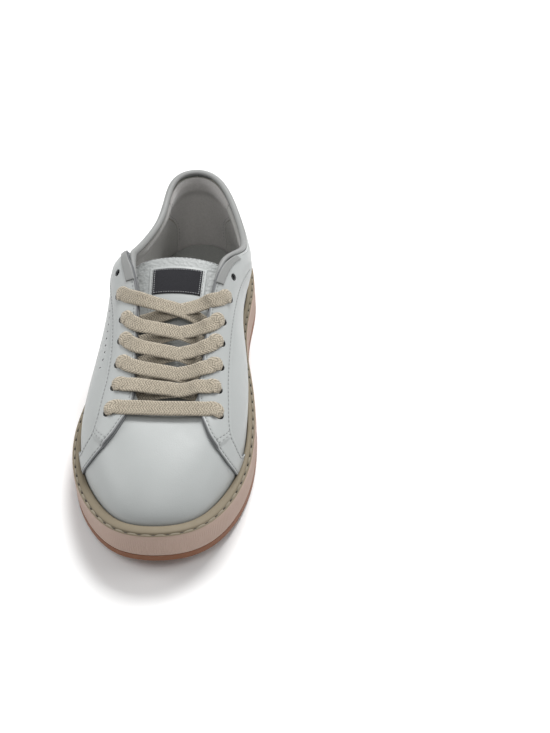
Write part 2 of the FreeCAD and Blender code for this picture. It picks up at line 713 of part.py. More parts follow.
def visit(row, side, sign):
    """Stops of the lace over a facing, down its eyelet and back under it, each with its face's direction."""
    centre, normal, away = hole_frame(row, side)
    u, v = EYELETS[row]
    u = at_side(u, side)
    face = [sign * c for c in normal]
    back = [-c for c in face]
    out = [sign * c for c in away]

    def near(offset):
        return [c + n * offset - a * TURN_ROOM for c, n, a in zip(centre, normal, away)]

    def inside(offset):
        return [c + n * offset for c, n in zip(centre, normal)]

    middle = (v + 1.0) / 2 + 0.01
    over = []
    if row > 0:
        over = [(skin(u, 1.0, OVER + 0.9), face, FLAT), (skin(u, middle, OVER + 0.7), face, FLAT)]
    over.append((near(OVER + 0.7), face, EASING))
    hole = [(inside(1.7), out, BUNCHED), (inside(-1.2), out, BUNCHED), (inside(-STACK - 0.2), out, BUNCHED)]
    sink = 1.1 if row == 0 else 0.7
    under = [(near(UNDER - sink), back, EASING), (skin(u, middle, UNDER - sink), back, FLAT),
             (skin(u, 1.0, UNDER - sink), back, FLAT)]
    return over, hole, under


def strand(first_side):
    """Half of the lace: from the bar over the lowest row, criss-cross, to its end tucked inside."""
    stops, side, sign = [], first_side, 1.0
    for row in range(LACED_ROWS):
        over, hole, under = visit(row, side, sign)
        if stops:
            start, end = stops[-1][0], over[0][0]
            for share, height in OUTER_CROSSING if side < 0 else INNER_CROSSING:
                x, y, _ = mix(start, end, share)
                level = start[2] - UNDER + (end[2] - OVER - start[2] + UNDER) * share
                stops.append(([x, y, level + height], [0, 0, sign], FLAT))
        stops += over + hole
        if row + 1 < LACED_ROWS:
            stops += under
            side, sign = -side, -sign
    u, v = EYELETS[LACED_ROWS - 1]
    u = at_side(u, side)
    normal = [sign * c for c in hole_frame(LACED_ROWS - 1, side)[1]]
    for drop, extra in ((0.06, 0.7), (0.12, 0.7), (0.18, 1.0)):
        stops.append((skin(u, v - drop, UNDER - extra), normal, FLAT if drop < 0.15 else EASING))
    stops.append((skin(u, v - 0.24, UNDER - 1.6), normal, (AGLET_RADIUS, AGLET_RADIUS)))
    return stops, (u, v - 0.24)


def smooth_stops(stops, spacing):
    """Samples along a smooth course through the stops, none further apart than the spacing."""
    points = [s[0] for s in stops]
    gaps = [math.dist(a, b) for a, b in zip(points, points[1:])]
    speeds = []
    for i in range(len(points)):
        if i == 0 or i == len(points) - 1:
            a, b = (0, 1) if i == 0 else (i - 1, i)
            speeds.append([(q - p) / math.dist(points[a], points[b]) for p, q in zip(points[a], points[b])])
            continue
        before, after = gaps[i - 1], gaps[i]
        speeds.append([((r - q) / after * before + (q - p) / before * after) / (before + after)
                       for p, q, r in zip(points[i - 1], points[i], points[i + 1])])
    samples = []
    for i, gap in enumerate(gaps):
        steps = max(2, math.ceil(gap / spacing))
        for k in range(steps + (i == len(gaps) - 1)):
            t = k / steps
            h = (2 * t ** 3 - 3 * t * t + 1, (t ** 3 - 2 * t * t + t) * gap,
                 3 * t * t - 2 * t ** 3, (t ** 3 - t * t) * gap)
            point = [h[0] * p + h[1] * m + h[2] * q + h[3] * n
                     for p, m, q, n in zip(points[i], speeds[i], points[i + 1], speeds[i + 1])]
            facing = mix(stops[i][1], stops[i + 1][1], ease(t))
            size = mix(stops[i][2], stops[i + 1][2], ease(t))
            samples.append((point, facing, size))
    return samples


def ribbon(samples):
    """Ribbon along the samples, in short solids that meet face to face."""
    sections = []
    last = len(samples) - 1
    for i, (point, facing, (half_width, half_thick)) in enumerate(samples):
        ahead, behind = samples[min(i + 1, last)][0], samples[max(i - 1, 0)][0]
        run = unit([a - b for a, b in zip(ahead, behind)])
        across = unit(cross(facing, run))
        up = cross(run, across)
        ring = []
        for k in range(12):
            angle = math.tau * (k + 0.5) / 12
            c, s = math.cos(angle), math.sin(angle)
            a = half_width * math.copysign(abs(c) ** 0.6, c)
            b = half_thick * math.copysign(abs(s) ** 0.8, s)
            ring.append([p + a * w + b * q for p, w, q in zip(point, across, up)])
        sections.append(ring)
    pieces = []
    for first in range(0, last, LACE_SPAN):
        end = last if last - first < 2 * LACE_SPAN else first + LACE_SPAN
        pieces.append(tube(sections[first:end + 1]))
        if end == last:
            break
    return Part.makeCompound(pieces)


def make_lace():
    """The whole lace and the aglets on its two tucked ends."""
    inner, inner_end = strand(1)
    outer, outer_end = strand(-1)
    bar = []
    for share, rise in BAR_RISE:
        x, y, z = mix(inner[0][0], outer[0][0], share)
        bar.append(([x, y, z + rise], [0, 0, 1], FLAT))
    stops = inner[::-1] + bar + outer
    samples = smooth_stops(stops, 3.0)
    length = sum(math.dist(a[0], b[0]) for a, b in zip(samples, samples[1:]))
    print("lace length %.0f mm" % length)
    aglets = []
    for u, v in (inner_end, outer_end):
        start = vector(skin(u, v, UNDER - 1.6))
        along = vector(skin(u, v - 0.12, UNDER - 2.4)) - start
        along.normalize()
        aglets.append(Part.makeCylinder(AGLET_RADIUS, AGLET_LENGTH, start + along * 0.2, along))
    return ribbon(samples), Part.makeCompound(aglets)


# ---------------------------------------------------------------- assembly
def build():
    parts = {}
    parts["outsole"] = make_outsole()
    parts["cupsole"] = make_cupsole()
    parts["sidewall_stitching"] = make_stitching()
    parts["midsole_foam"], parts["insole_board"], parts["footbed"] = make_inner_sole()
    parts.update(make_upper())
    parts.update(make_tongue())
    parts["lace"], parts["aglets"] = make_lace()
    return parts


def main():
    parts = build()
    box = parts["outsole"].optimalBoundingBox(False, False)
    shift = FreeCAD.Vector(-(box.XMin + box.XMax) / 2, -(box.YMin + box.YMax) / 2, 0)
    print("shift", shift, "outsole bottom", box.ZMin)
    print("tongue hinge", vector(tongue_bare(0.0, 0.0)) + shift)
    os.makedirs("parts", exist_ok=True)
    for name, shape in parts.items():
        placed = shape.translated(shift)
        placed.exportStep("parts/" + name + ".step")
        print("%-24s valid=%s solids=%d volume=%.0f mm3"
              % (name, placed.isValid(), len(placed.Solids), placed.Volume))


main()
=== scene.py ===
"""Looks of the court shoe: leather, rubber, thread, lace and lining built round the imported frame."""
import math

import bpy
import numpy as np
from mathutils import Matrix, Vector


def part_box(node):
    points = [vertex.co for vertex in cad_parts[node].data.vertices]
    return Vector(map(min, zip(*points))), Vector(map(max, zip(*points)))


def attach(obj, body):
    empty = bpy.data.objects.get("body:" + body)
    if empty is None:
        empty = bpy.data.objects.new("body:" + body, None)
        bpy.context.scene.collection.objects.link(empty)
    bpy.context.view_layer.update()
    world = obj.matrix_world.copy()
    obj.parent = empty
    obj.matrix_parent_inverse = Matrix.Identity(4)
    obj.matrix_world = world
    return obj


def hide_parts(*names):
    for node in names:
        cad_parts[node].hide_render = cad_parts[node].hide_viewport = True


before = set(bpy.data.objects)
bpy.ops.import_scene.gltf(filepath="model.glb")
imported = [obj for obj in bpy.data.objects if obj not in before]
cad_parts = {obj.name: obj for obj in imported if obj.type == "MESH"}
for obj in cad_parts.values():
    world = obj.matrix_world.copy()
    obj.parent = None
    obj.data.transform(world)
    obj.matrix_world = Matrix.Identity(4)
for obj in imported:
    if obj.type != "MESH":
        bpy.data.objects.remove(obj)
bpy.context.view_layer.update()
MM = 0.001

# ---------------------------------------------------------------- sizes, in millimetres as in the design
WALL_HEIGHT = 21.2
LIP_RISE = 4.0
TOE_SPRING = 10.65
HEEL_BEVEL = 1.5
OUTSOLE = 4.0
WALL_FLARE = 1.2
LIP_GAP = 0.3
CUP_FLOOR = 3.0
VENT_RADIUS = 0.6
STITCH_PITCH = 7.7
STITCH_LENGTH = 5.4
SEAT_WIDTH = 2.4
SEAT_DEPTH = 1.6
UPPER_DEPTH = 9.0
LEATHER = 1.4
OVERLAY = 1.3
STIFFENER = 0.8
LINING = 1.2
COLLAR_FOAM = 2.4
LAYER_GAP = 0.15
FOOTBED = 5.5
TONGUE_LEATHER = 1.2
TONGUE_FOAM = 3.6
TONGUE_LINING = 1.0
TONGUE_DROP = 6.8
TONGUE_ARCH = 0.0075
TONGUE_TIP = 8.5
TONGUE_HALF_WIDTHS = (23.0, 25.0, 27.0, 28.0, 28.0, 28.0, 30.0, 30.0)
EYELET_RADIUS = 2.4
LACE_WIDTH = 9.0
LACE_THICKNESS = 1.3
LACE_BUNCHED_WIDTH = 2.8
LACE_BUNCHED_THICKNESS = 1.9
LACE_GAP = 0.3
AGLET_RADIUS = 1.6
UNDER_LEATHER = LEATHER + LAYER_GAP
UNDER_STIFFENER = UNDER_LEATHER + STIFFENER + LAYER_GAP
STACK = UNDER_STIFFENER + LINING

# ---------------------------------------------------------------- drawn form
# One row a station, from the toe tip round the inner side to the heel and back along the outer side.
# Columns: outline x, y; inset of the upper from the outline; offset and height of the rib's lower handle;
# top edge x, y and height over the lip; the upper handle's shift across, along and down from the top edge.
TOE_TIP = (3.0, -150.5, 7.0, -5, 17, 1.5, -77.0, 31.3, 0, -34, 1)
INNER = (
    (24.6, -144.1, 7.0, -5, 17, 9.0, -76.5, 31.5, 6, -30, 1),
    (40.0, -125.7, 7.0, -4, 17, 16.5, -73.5, 33.3, 14, -20, 1.5),
    (49.2, -98.3, 6.0, -1, 17, 20.5, -65.0, 38.3, 20, -9, 3),
    (52.1, -66.0, 5.0, 9, 18, 21.5, -48.0, 46.8, 22, -3, 5),
    (49.1, -25.7, 5.0, 13, 21, 22.0, -27.0, 56.3, 22, 0, 6),
    (42.8, 12.2, 5.0, 12, 26, 24.0, -7.0, 65.5, 19, 0, 8),
    (41.2, 44.0, 5.0, 11, 30, 30.0, 16.0, 72.0, 15, 4, 14),
    (43.0, 71.8, 5.0, 5, 28, 39.5, 42.0, 62.3, 8, 4, 18),
    (42.0, 98.0, 5.5, -2, 22, 39.0, 72.0, 51.6, 3, 2, 16),
    (35.6, 123.7, 6.0, -5, 20, 32.0, 101.0, 52.0, 3, 2, 18),
    (20.4, 143.3, 6.0, -5, 22, 18.5, 130.0, 58.8, 2, 3, 22),
)
HEEL_TIP = (0.0, 149.7, 6.0, -5, 24, -1.0, 141.0, 61.4, 0, 4, 24)
OUTER = (
    (-20.9, 142.6, 6.0, -5, 22, -19.0, 130.0, 58.8, -3, 3, 22),
    (-36.8, 121.7, 6.0, -5, 20, -23.5, 101.0, 52.0, -7, 2, 18),
    (-41.9, 96.8, 5.5, -3, 22, -29.0, 72.0, 51.6, -8, 2, 16),
    (-43.9, 69.9, 5.0, 1, 26, -32.0, 42.0, 61.3, -11, 4, 18),
    (-47.1, 41.9, 5.0, 12, 30, -29.0, 17.0, 72.0, -20, 4, 14),
    (-51.6, 8.1, 5.0, 12, 26, -22.0, -6.0, 65.5, -24, 0, 8),
    (-56.4, -29.8, 5.0, 10, 21, -19.5, -27.0, 56.3, -23, 0, 6),
    (-58.4, -68.0, 5.0, 6, 18, -18.0, -48.0, 46.8, -22, -3, 5),
    (-51.2, -101.9, 6.0, -1, 17, -17.5, -65.0, 38.3, -20, -9, 3),
    (-37.4, -128.3, 7.0, -4, 17, -13.0, -73.5, 33.3, -14, -20, 1.5),
    (-19.1, -146.1, 7.0, -5, 17, -6.0, -76.5, 31.5, -6, -30, 1),
)
STATIONS = np.array((TOE_TIP,) + INNER + (HEEL_TIP,) + OUTER)
ROUND = len(STATIONS)
HEEL = ROUND / 2
SPRING_START = -72.0
SPRING_RUN = 78.5
BEVEL_START = 138.0
BEVEL_RUN = 11.7
ROLL_START = 6.3           # where the collar roll begins, along the skin
ROLL_WIDTH = 4.6
ROLL_HEIGHT = 3.4
COLLAR_START = 7.0
BINDING_ROOM = 0.034


def ease(t):
    t = np.clip(t, 0.0, 1.0)
    return t * t * (3 - 2 * t)


def ground(y):
    toe = np.maximum(SPRING_START - y, 0.0) / SPRING_RUN
    heel = np.maximum(y - BEVEL_START, 0.0) / BEVEL_RUN
    return TOE_SPRING * toe ** 2 + HEEL_BEVEL * heel ** 2


def lip(y):
    return ground(y) + WALL_HEIGHT + LIP_RISE * np.maximum(0.0, (y + 20.0) / 170.0)


class Ring:
    """A closed, smooth curve through points: a uniform cubic B-spline."""

    def __init__(self, points):
        points = np.asarray(points, float)
        self.count = len(points)
        pull = np.eye(self.count) * 4 / 6
        for i in range(self.count):
            pull[i, i - 1] += 1 / 6
            pull[i, (i + 1) % self.count] += 1 / 6
        self.poles = np.linalg.solve(pull, points)

    def at(self, u):
        u = np.asarray(u, float)
        first = np.floor(u).astype(int)
        t = (u - first)[..., None]
        weights = ((1 - t) ** 3 / 6, (3 * t ** 3 - 6 * t * t + 4) / 6,
                   (-3 * t ** 3 + 3 * t * t + 3 * t + 1) / 6, t ** 3 / 6)
        return sum(w * self.poles[(first - 1 + k) % self.count] for k, w in enumerate(weights))


OUTLINE = Ring(STATIONS[:, :2])
INSETS = Ring(STATIONS[:, 2:3])


def outline(u, offset=0.0):
    """Plan point of the sole's outline, moved out by offset."""
    step = 0.001
    u = np.asarray(u, float)
    run = OUTLINE.at(u + step) - OUTLINE.at(u - step)
    run /= np.linalg.norm(run, axis=-1, keepdims=True)
    normal = np.stack([run[..., 1], -run[..., 0]], -1)
    return OUTLINE.at(u) + normal * np.asarray(offset)[..., None]


def rib_rings():
    foot = np.zeros((ROUND, 3))
    foot[:, :2] = outline(np.arange(ROUND), -STATIONS[:, 2])
    foot[:, 2] = lip(foot[:, 1]) + LIP_GAP
    swell = np.zeros((ROUND, 3))
    swell[:, :2] = outline(np.arange(ROUND), STATIONS[:, 3])
    swell[:, 2] = foot[:, 2] + STATIONS[:, 4]
    edge = STATIONS[:, 5:8].copy()
    edge[:, 2] += lip(edge[:, 1])
    handle = edge + STATIONS[:, 8:11] * (1, 1, -1)
    rise = foot + np.outer(0.42 * STATIONS[:, 4], (0, 0, 1))
    return [Ring(r) for r in (foot, rise, (swell + handle) / 2, (3 * handle + edge) / 4, edge)]


RIB_RINGS = rib_rings()


def skin_bare(u, v):
    """Point of the upper's outer face at station u and rib share v; below 0 it is inside the cup."""
    u, v = np.broadcast_arrays(np.asarray(u, float), np.asarray(v, float))
    up = np.maximum(v, 0.0)[..., None]
    down = 1 - up
    weights = (down ** 4, 4 * up * down ** 3, 6 * up * up * down ** 2, 4 * up ** 3 * down, up ** 4)
    point = sum(w * ring.at(u) for w, ring in zip(weights, RIB_RINGS))
    point[..., 2] += np.minimum(v, 0.0) * UPPER_DEPTH
    return point


def unit(a):
    a = np.asarray(a, float)
    return a / np.linalg.norm(a, axis=-1, keepdims=True)


def skin_normal(u, v):
    step = 0.004
    high = np.minimum(v + step, 1.0)
    along = skin_bare(u + step, v) - skin_bare(u - step, v)
    upward = skin_bare(u, high) - skin_bare(u, high - 2 * step)
    return unit(np.cross(along, upward))


def skin(u, v, offset=0.0):
    u, v = np.broadcast_arrays(np.asarray(u, float), np.asarray(v, float))
    return skin_bare(u, v) + skin_normal(u, v) * np.asarray(offset)[..., None]


def flow(points, t):
    """Smooth curve through evenly spaced points, for t from 0 to 1."""
    points = np.asarray(points, float)
    points = np.vstack([2 * points[0] - points[1], points, 2 * points[-1] - points[-2]])
    place = np.asarray(t, float) * (len(points) - 3)
    first = np.clip(place.astype(int), 0, len(points) - 4)
    f = (place - first)[..., None]
    a, b, c, d = (points[first + k] for k in range(4))
    return 0.5 * (2 * b + (c - a) * f + (2 * a - 5 * b + 4 * c - d) * f ** 2
                  + (3 * b - a - 3 * c + d) * f ** 3)


# Seam lines, as (station, rib share), bottom to top.
VAMP_SEAM = ((3.2, -1.0), (3.2, -0.4), (3.1, 0.05), (2.92, 0.2), (2.7, 0.38), (2.58, 0.55), (2.62, 0.75),
             (2.75, 1.0))
SEAM_GAP = 0.05
FACING_FRONT = ((2.95, 0.0), (2.78, 0.17), (2.46, 0.38), (2.2, 0.56), (2.06, 0.72), (2.2, 0.9), (2.9, 1.0),
                (3.9, 1.0), (4.9, 1.0), (5.9, 1.0), (6.75, 1.0), (7.5, 1.0))
FACING_REAR = ((3.55, 0.0), (3.25, 0.17), (3.02, 0.38), (2.95, 0.5), (3.1, 0.585), (3.4, 0.65), (3.85, 0.71),
               (4.5, 0.74), (5.25, 0.733), (6.1, 0.69), (6.85, 0.66), (7.75, 0.68))
TAB_EDGE = ((6.22, 0.998), (6.6, 0.998), (6.95, 0.985), (7.3, 0.97))
TAB_REAR = ((6.22, 0.925), (6.6, 0.92), (6.95, 0.915), (7.3, 0.9))
HEEL_SEAM = ((10.6, -0.95), (10.7, 0.0), (10.8, 0.4), (10.45, 0.7), (10.4, 0.985))
EYELETS = ((2.73, 0.708), (3.30, 0.814), (3.93, 0.84), (4.55, 0.858), (5.15, 0.866), (5.93, 0.822),
           (6.58, 0.845))
VENTS = ((5.82, 0.65), (5.62, 0.652), (5.42, 0.654), (5.22, 0.655), (5.02, 0.656), (4.83, 0.656),
         (4.65, 0.656),
         (4.49, 0.64), (4.36, 0.61))




def top_share(u):
    """How far up its rib a panel reaches: all the way at the throat, less under the rolled binding."""
    reach = np.minimum(u % ROUND, ROUND - u % ROUND)
    return 1.0 - BINDING_ROOM * ease((reach - COLLAR_START + 0.45) / 0.6)


def trimmed(domain):
    def shaped(s, t):
        u, v = domain(s, t)
        return u, np.where(v > 0, v * top_share(u), v)
    return shaped


def mirrored(domain):
    def shaped(s, t):
        u, v = domain(s, t)
        return ROUND - u, v
    return shaped


def between(left, right):
    """Domain between two seam lines, each a list of points from bottom to top."""
    def shaped(s, t):
        s = np.asarray(s)[..., None]
        uv = flow(left, t) * (1 - s) + flow(right, t) * s
        return uv[..., 0], uv[..., 1]
    return shaped


def straight_domain(u0, u1, v0, v1):
    """Rectangle in stations and rib shares, its rows evenly spaced in millimetres."""
    height = 61.4
    low = v0 * UPPER_DEPTH if v0 < 0 else v0 * height
    high = v1 * height

    def shaped(s, t):
        reach = low + (high - low) * t
        return u0 + (u1 - u0) * s, np.where(reach < 0, reach / UPPER_DEPTH, reach / height)
    return shaped


def padding(u, v):
    """Extra depth of the lining behind the collar foam."""
    around = ease((u - 7.7) / 1.0) * ease((ROUND - 7.7 - u) / 1.0)
    upward = ease((v - 0.70) / 0.12) * ease((1.0 - v) / 0.12)
    return COLLAR_FOAM * around * upward


def vamp_domain(s, t):
    uv = flow(VAMP_SEAM, t)
    return (2 * s - 1) * uv[..., 0], uv[..., 1]


def shifted(seam, amount):
    return [(u + amount, v) for u, v in seam]


QUARTER = trimmed(between(shifted(VAMP_SEAM, SEAM_GAP), [(HEEL - 0.015, v) for _, v in VAMP_SEAM]))
FACING = trimmed(between(FACING_FRONT, FACING_REAR))
TAB = between(TAB_EDGE, TAB_REAR)
SIDE_LINING = trimmed(between([(3.0, v) for _, v in HEEL_SEAM], shifted(HEEL_SEAM, -SEAM_GAP / 2)))


def heel_lining_domain(s, t):
    uv = flow(HEEL_SEAM, t)
    u, v = uv[..., 0], uv[..., 1]
    return HEEL + (2 * s - 1) * (HEEL - u), np.where(v > 0, v * top_share(u), v)


def frame_shift():
    """From the drawn form's plan to the frame, by the outsole's box."""
    ring = outline(np.linspace(0, ROUND, 2401), WALL_FLARE)
    low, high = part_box("outsole")
    middle = (np.array(low[:2]) + np.array(high[:2])) / 2 / MM
    return np.append(middle - (ring.min(0) + ring.max(0)) / 2, 0.0)


SHIFT = frame_shift()


# ---------------------------------------------------------------- mesh builders
def make_mesh(name, points, quads, uv=None, faces=None, materials=()):
    """Object from an array of points in millimetres and an array of quads; uv is one pair a point."""
    mesh = bpy.data.meshes.new(name)
    points = (np.asarray(points, float) + SHIFT) * MM
    quads = np.asarray(quads, int)
    mesh.vertices.add(len(points))
    mesh.vertices.foreach_set("co", points.ravel())
    mesh.loops.add(quads.size)
    mesh.loops.foreach_set("vertex_index", quads.ravel())
    mesh.polygons.add(len(quads))
    mesh.polygons.foreach_set("loop_start", np.arange(0, quads.size, 4))
    mesh.polygons.foreach_set("use_smooth", np.ones(len(quads), bool))
    if faces is not None:
        mesh.polygons.foreach_set("material_index", np.asarray(faces, int))
    if uv is not None:
        layer = mesh.uv_layers.new(name="size")
        layer.data.foreach_set("uv", np.asarray(uv, float)[quads.ravel()].ravel())
    mesh.update(calc_edges=True)
    mesh.validate()
    piece = bpy.data.objects.new(name, mesh)
    bpy.context.scene.collection.objects.link(piece)
    for one in materials:
        mesh.materials.append(one)
    return piece


def grid_quads(rows, columns, start=0, close_rows=False, close_columns=False):
    """Quads of a grid of points stored row by row."""
    i = np.arange(rows if close_rows else rows - 1)
    j = np.arange(columns if close_columns else columns - 1)
    i, j = np.meshgrid(i, j, indexing="ij")
    k, l = (i + 1) % rows, (j + 1) % columns
    quads = np.stack([i * columns + j, i * columns + l, k * columns + l, k * columns + j], -1)
    return quads.reshape(-1, 4) + start


def travel(points):
    """Length travelled along a line at each of its points."""
    return np.concatenate([[0], np.cumsum(np.linalg.norm(np.diff(points, axis=0), axis=-1))])


def strip_uv(along, across):
    """UV places in metres for a grid of rows along a run."""
    return np.stack(np.broadcast_arrays(along[:, None], across), -1).reshape(-1, 2) * MM


def slab_quads(shape):
    """Upper face, lower face and edge of a slab whose two faces are equal grids."""
    count = shape[0] * shape[1]
    index = np.arange(count).reshape(shape)
    ring = np.concatenate([index[0, :-1], index[:-1, -1], index[-1, :0:-1], index[:0:-1, 0]])
    following = np.roll(ring, -1)
    side = np.stack([ring, ring + count, following + count, following], -1)
    return [grid_quads(*shape), grid_quads(*shape, start=count)[:, ::-1], side]


BEVEL_STEPS = (0.0, 0.08, 0.25, 0.5, 0.8)


def border_lines(count, size, radius):
    """Shares of a length for the grid lines: close together at both borders, even between."""
    size = np.asarray(size)[..., None]
    near = np.array(BEVEL_STEPS) * radius / size
    inner = near[..., -1:]
    middle = inner + (1 - 2 * inner) * np.linspace(0, 1, count)[1:-1]
    return np.concatenate([near, middle, 1 - near[..., ::-1]], -1)


def spans(domain, surface, by_rows):
    """Length in millimetres of the domain's lines, across it or along it, at 41 places."""
    s, t = np.meshgrid(np.linspace(0, 1, 41), np.linspace(0, 1, 41), indexing="ij")
    if by_rows:
        s, t = t, s
    points = surface(*domain(s, t), np.zeros_like(s))
    return np.linalg.norm(np.diff(points, axis=1), axis=-1).sum(1)


def sheet(name, domain, top, under, spacing, surface=skin, radius=0.5, relief=None, lift=None, materials=(),
          edge_material=0, edge_reach=0.0):
    """Closed leather sheet with rounded edges.

    top and under are offsets from the surface. relief adds to the top by (u, v, s, t, distance to each
    border), and lift to both faces by (s, t). Faces nearer to the first border than edge_reach show the
    cut edge's material, a grey edge colour made darker as painted shade.
    """
    places = np.linspace(0, 1, 41)
    across = spans(domain, surface, True)
    along = spans(domain, surface, False)
    columns = max(6, int(across.max() / spacing))
    rows = max(6, int(along.max() / spacing))
    s_lines = border_lines(columns, across, radius)
    t_lines = border_lines(rows, along, radius)
    row_places = t_lines.mean(0)
    s = np.stack([np.interp(row_places, places, s_lines[:, j]) for j in range(s_lines.shape[1])], 1)
    t = np.stack([np.interp(s[i], places, t_lines[:, i]) for i in range(len(row_places))], 0)
    wide = np.interp(t, places, across)
    tall = np.interp(s, places, along)
    borders = (s * wide, (1 - s) * wide, t * tall, (1 - t) * tall)
    nearest = np.minimum.reduce(borders)
    u, v = domain(s, t)
    upper = top(u, v) if callable(top) else np.full_like(u, top)
    lower = under(u, v) if callable(under) else np.full_like(u, under)
    if lift is not None:
        upper, lower = upper + lift(s, t), lower + lift(s, t)
    if relief is not None:
        upper = upper + relief(u, v, s, t, borders)
    depth = np.minimum(radius, 0.9 * (upper - lower))
    short = np.clip(1 - nearest / radius, 0.0, 1.0)
    upper = upper - depth * (1 - np.sqrt(1 - short ** 2))
    outer, inner = surface(u, v, upper), surface(u, v, lower)
    quads = slab_quads(u.shape)
    faces = np.zeros(sum(len(q) for q in quads), int)
    faces[-len(quads[-1]):] = edge_material
    if edge_reach:
        near = borders[0].reshape(-1)[quads[0]].mean(1) < edge_reach
        faces[:len(near)][near] = edge_material
    quads = np.concatenate(quads)
    points = np.concatenate([outer.reshape(-1, 3), inner.reshape(-1, 3)])
    uv = np.stack([s * wide.mean(), t * tall.mean()], -1).reshape(-1, 2)
    uv = np.concatenate([uv, uv]) * MM
    first = quads[0]
    facing = np.cross(points[first[1]] - points[first[0]], points[first[3]] - points[first[0]])
    if np.dot(facing, outer.reshape(-1, 3)[first[0]] - inner.reshape(-1, 3)[first[0]]) < 0:
        quads = quads[:, ::-1]
    return make_mesh(name, points, quads, uv, faces, materials)


def channel(distance, width=0.55, depth=0.22):
    """Groove that a stitch line pulls into a sheet, at a distance from one border."""
    return lambda border: -depth * np.exp(-((border - distance) / width) ** 2)


def groove(*which, distance=2.0):
    """Relief with a stitch groove beside the named borders: 0 and 1 at s, 2 and 3 at t."""
    cut = channel(distance)
    return lambda u, v, s, t, borders: sum(cut(borders[k]) for k in which)


def run_frames(points, normals, pitch, length):
    """Places of stitches along a line: centre, run, side and up of each."""
    travelled = travel(points)
    count = int(travelled[-1] / pitch)
    middles = (np.arange(count) + 0.5) * travelled[-1] / max(count, 1)

    def pick(values, at):
        return np.stack([np.interp(at, travelled, values[:, k]) for k in range(values.shape[1])], -1)

    centre = (pick(points, middles - length / 2) + pick(points, middles + length / 2)) / 2
    run = unit(pick(points, middles + length / 2) - pick(points, middles - length / 2))
    up = pick(normals, middles)
    side = unit(np.cross(run, up))
    return centre, run, side, np.cross(side, run)


def stitches(name, lines, pitch, length, width, height, material):
    """Thread: one small arched spindle for each stitch along every line of (points, normals)."""
    stations = ((-1.0, 0.3, -0.7), (-0.85, 0.75, -0.25), (-0.4, 1.0, 0.0), (0.4, 1.0, 0.0),
                (0.85, 0.75, -0.25),
                (1.0, 0.3, -0.7))
    around = 8
    points, quads, total = [], [], 0
    ring = np.linspace(0, 2 * np.pi, around, endpoint=False)
    for line, normals in lines:
        centre, run, side, up = run_frames(line, normals, pitch, length)
        count = len(centre)
        if not count:
            continue
        body = np.zeros((count, len(stations), around, 3))
        for k, (place, size, sink) in enumerate(stations):
            middle = centre + run * place * length / 2 + up * sink * height
            body[:, k] = (middle[:, None] + side[:, None] * (np.cos(ring) * width / 2 * size)[None, :, None]
                          + up[:, None] * (np.sin(ring) * height / 2 * size)[None, :, None])
        caps = body[:, (0, -1)].mean(2)
        one = len(stations) * around
        flat = np.concatenate([body.reshape(count, one, 3), caps], 1)
        tube = grid_quads(len(stations), around, close_columns=True)
        j = np.arange(around)
        start = np.stack([np.full(around, one), (j + 1) % around, j, j], -1)
        last = (len(stations) - 1) * around
        after = last + (j + 1) % around
        end = np.stack([np.full(around, one + 1), last + j, after, after], -1)
        shape = np.concatenate([tube, start, end])
        quads.append((shape[None] + (np.arange(count) * (one + 2))[:, None, None] + total).reshape(-1, 4))
        points.append(flat.reshape(-1, 3))
        total += count * (one + 2)
    return thread_mesh(name, np.concatenate(points), np.concatenate(quads), material)


def thread_mesh(name, points, quads, material):
    """Mesh whose caps are triangles written as quads with a repeated corner."""
    mesh = bpy.data.meshes.new(name)
    points = (points + SHIFT) * MM
    faces = [tuple(q[:3]) if q[2] == q[3] else tuple(q) for q in quads.tolist()]
    mesh.from_pydata(points.tolist(), [], faces)
    mesh.polygons.foreach_set("use_smooth", np.ones(len(faces), bool))
    mesh.materials.append(material)
    mesh.update()
    piece = bpy.data.objects.new(name, mesh)
    bpy.context.scene.collection.objects.link(piece)
    return piece


def beside(domain, surface, edge, distance, low, high, count):
    """Shares (s, t) of a line beside a border: edge 0 or 1 in s, 2 or 3 in t."""
    by_rows = edge < 2
    sizes = spans(domain, surface, by_rows)
    place = np.linspace(low, high, count)
    away = distance / np.interp(place, np.linspace(0, 1, 41), sizes)
    if edge in (1, 3):
        away = 1 - away
    return (away, place) if by_rows else (place, away)


def domain_line(domain, offset, edge, distance, low=0.0, high=1.0, surface=skin, normal_of=skin_normal,
                count=200):
    """Line beside a border of a domain, between shares low and high of it, with its normals."""
    s, t = beside(domain, surface, edge, distance, low, high, count)
    u, v = domain(s, t)
    depth = offset(u, v) if callable(offset) else offset
    return surface(u, v, np.broadcast_to(depth, u.shape)), normal_of(u, v)


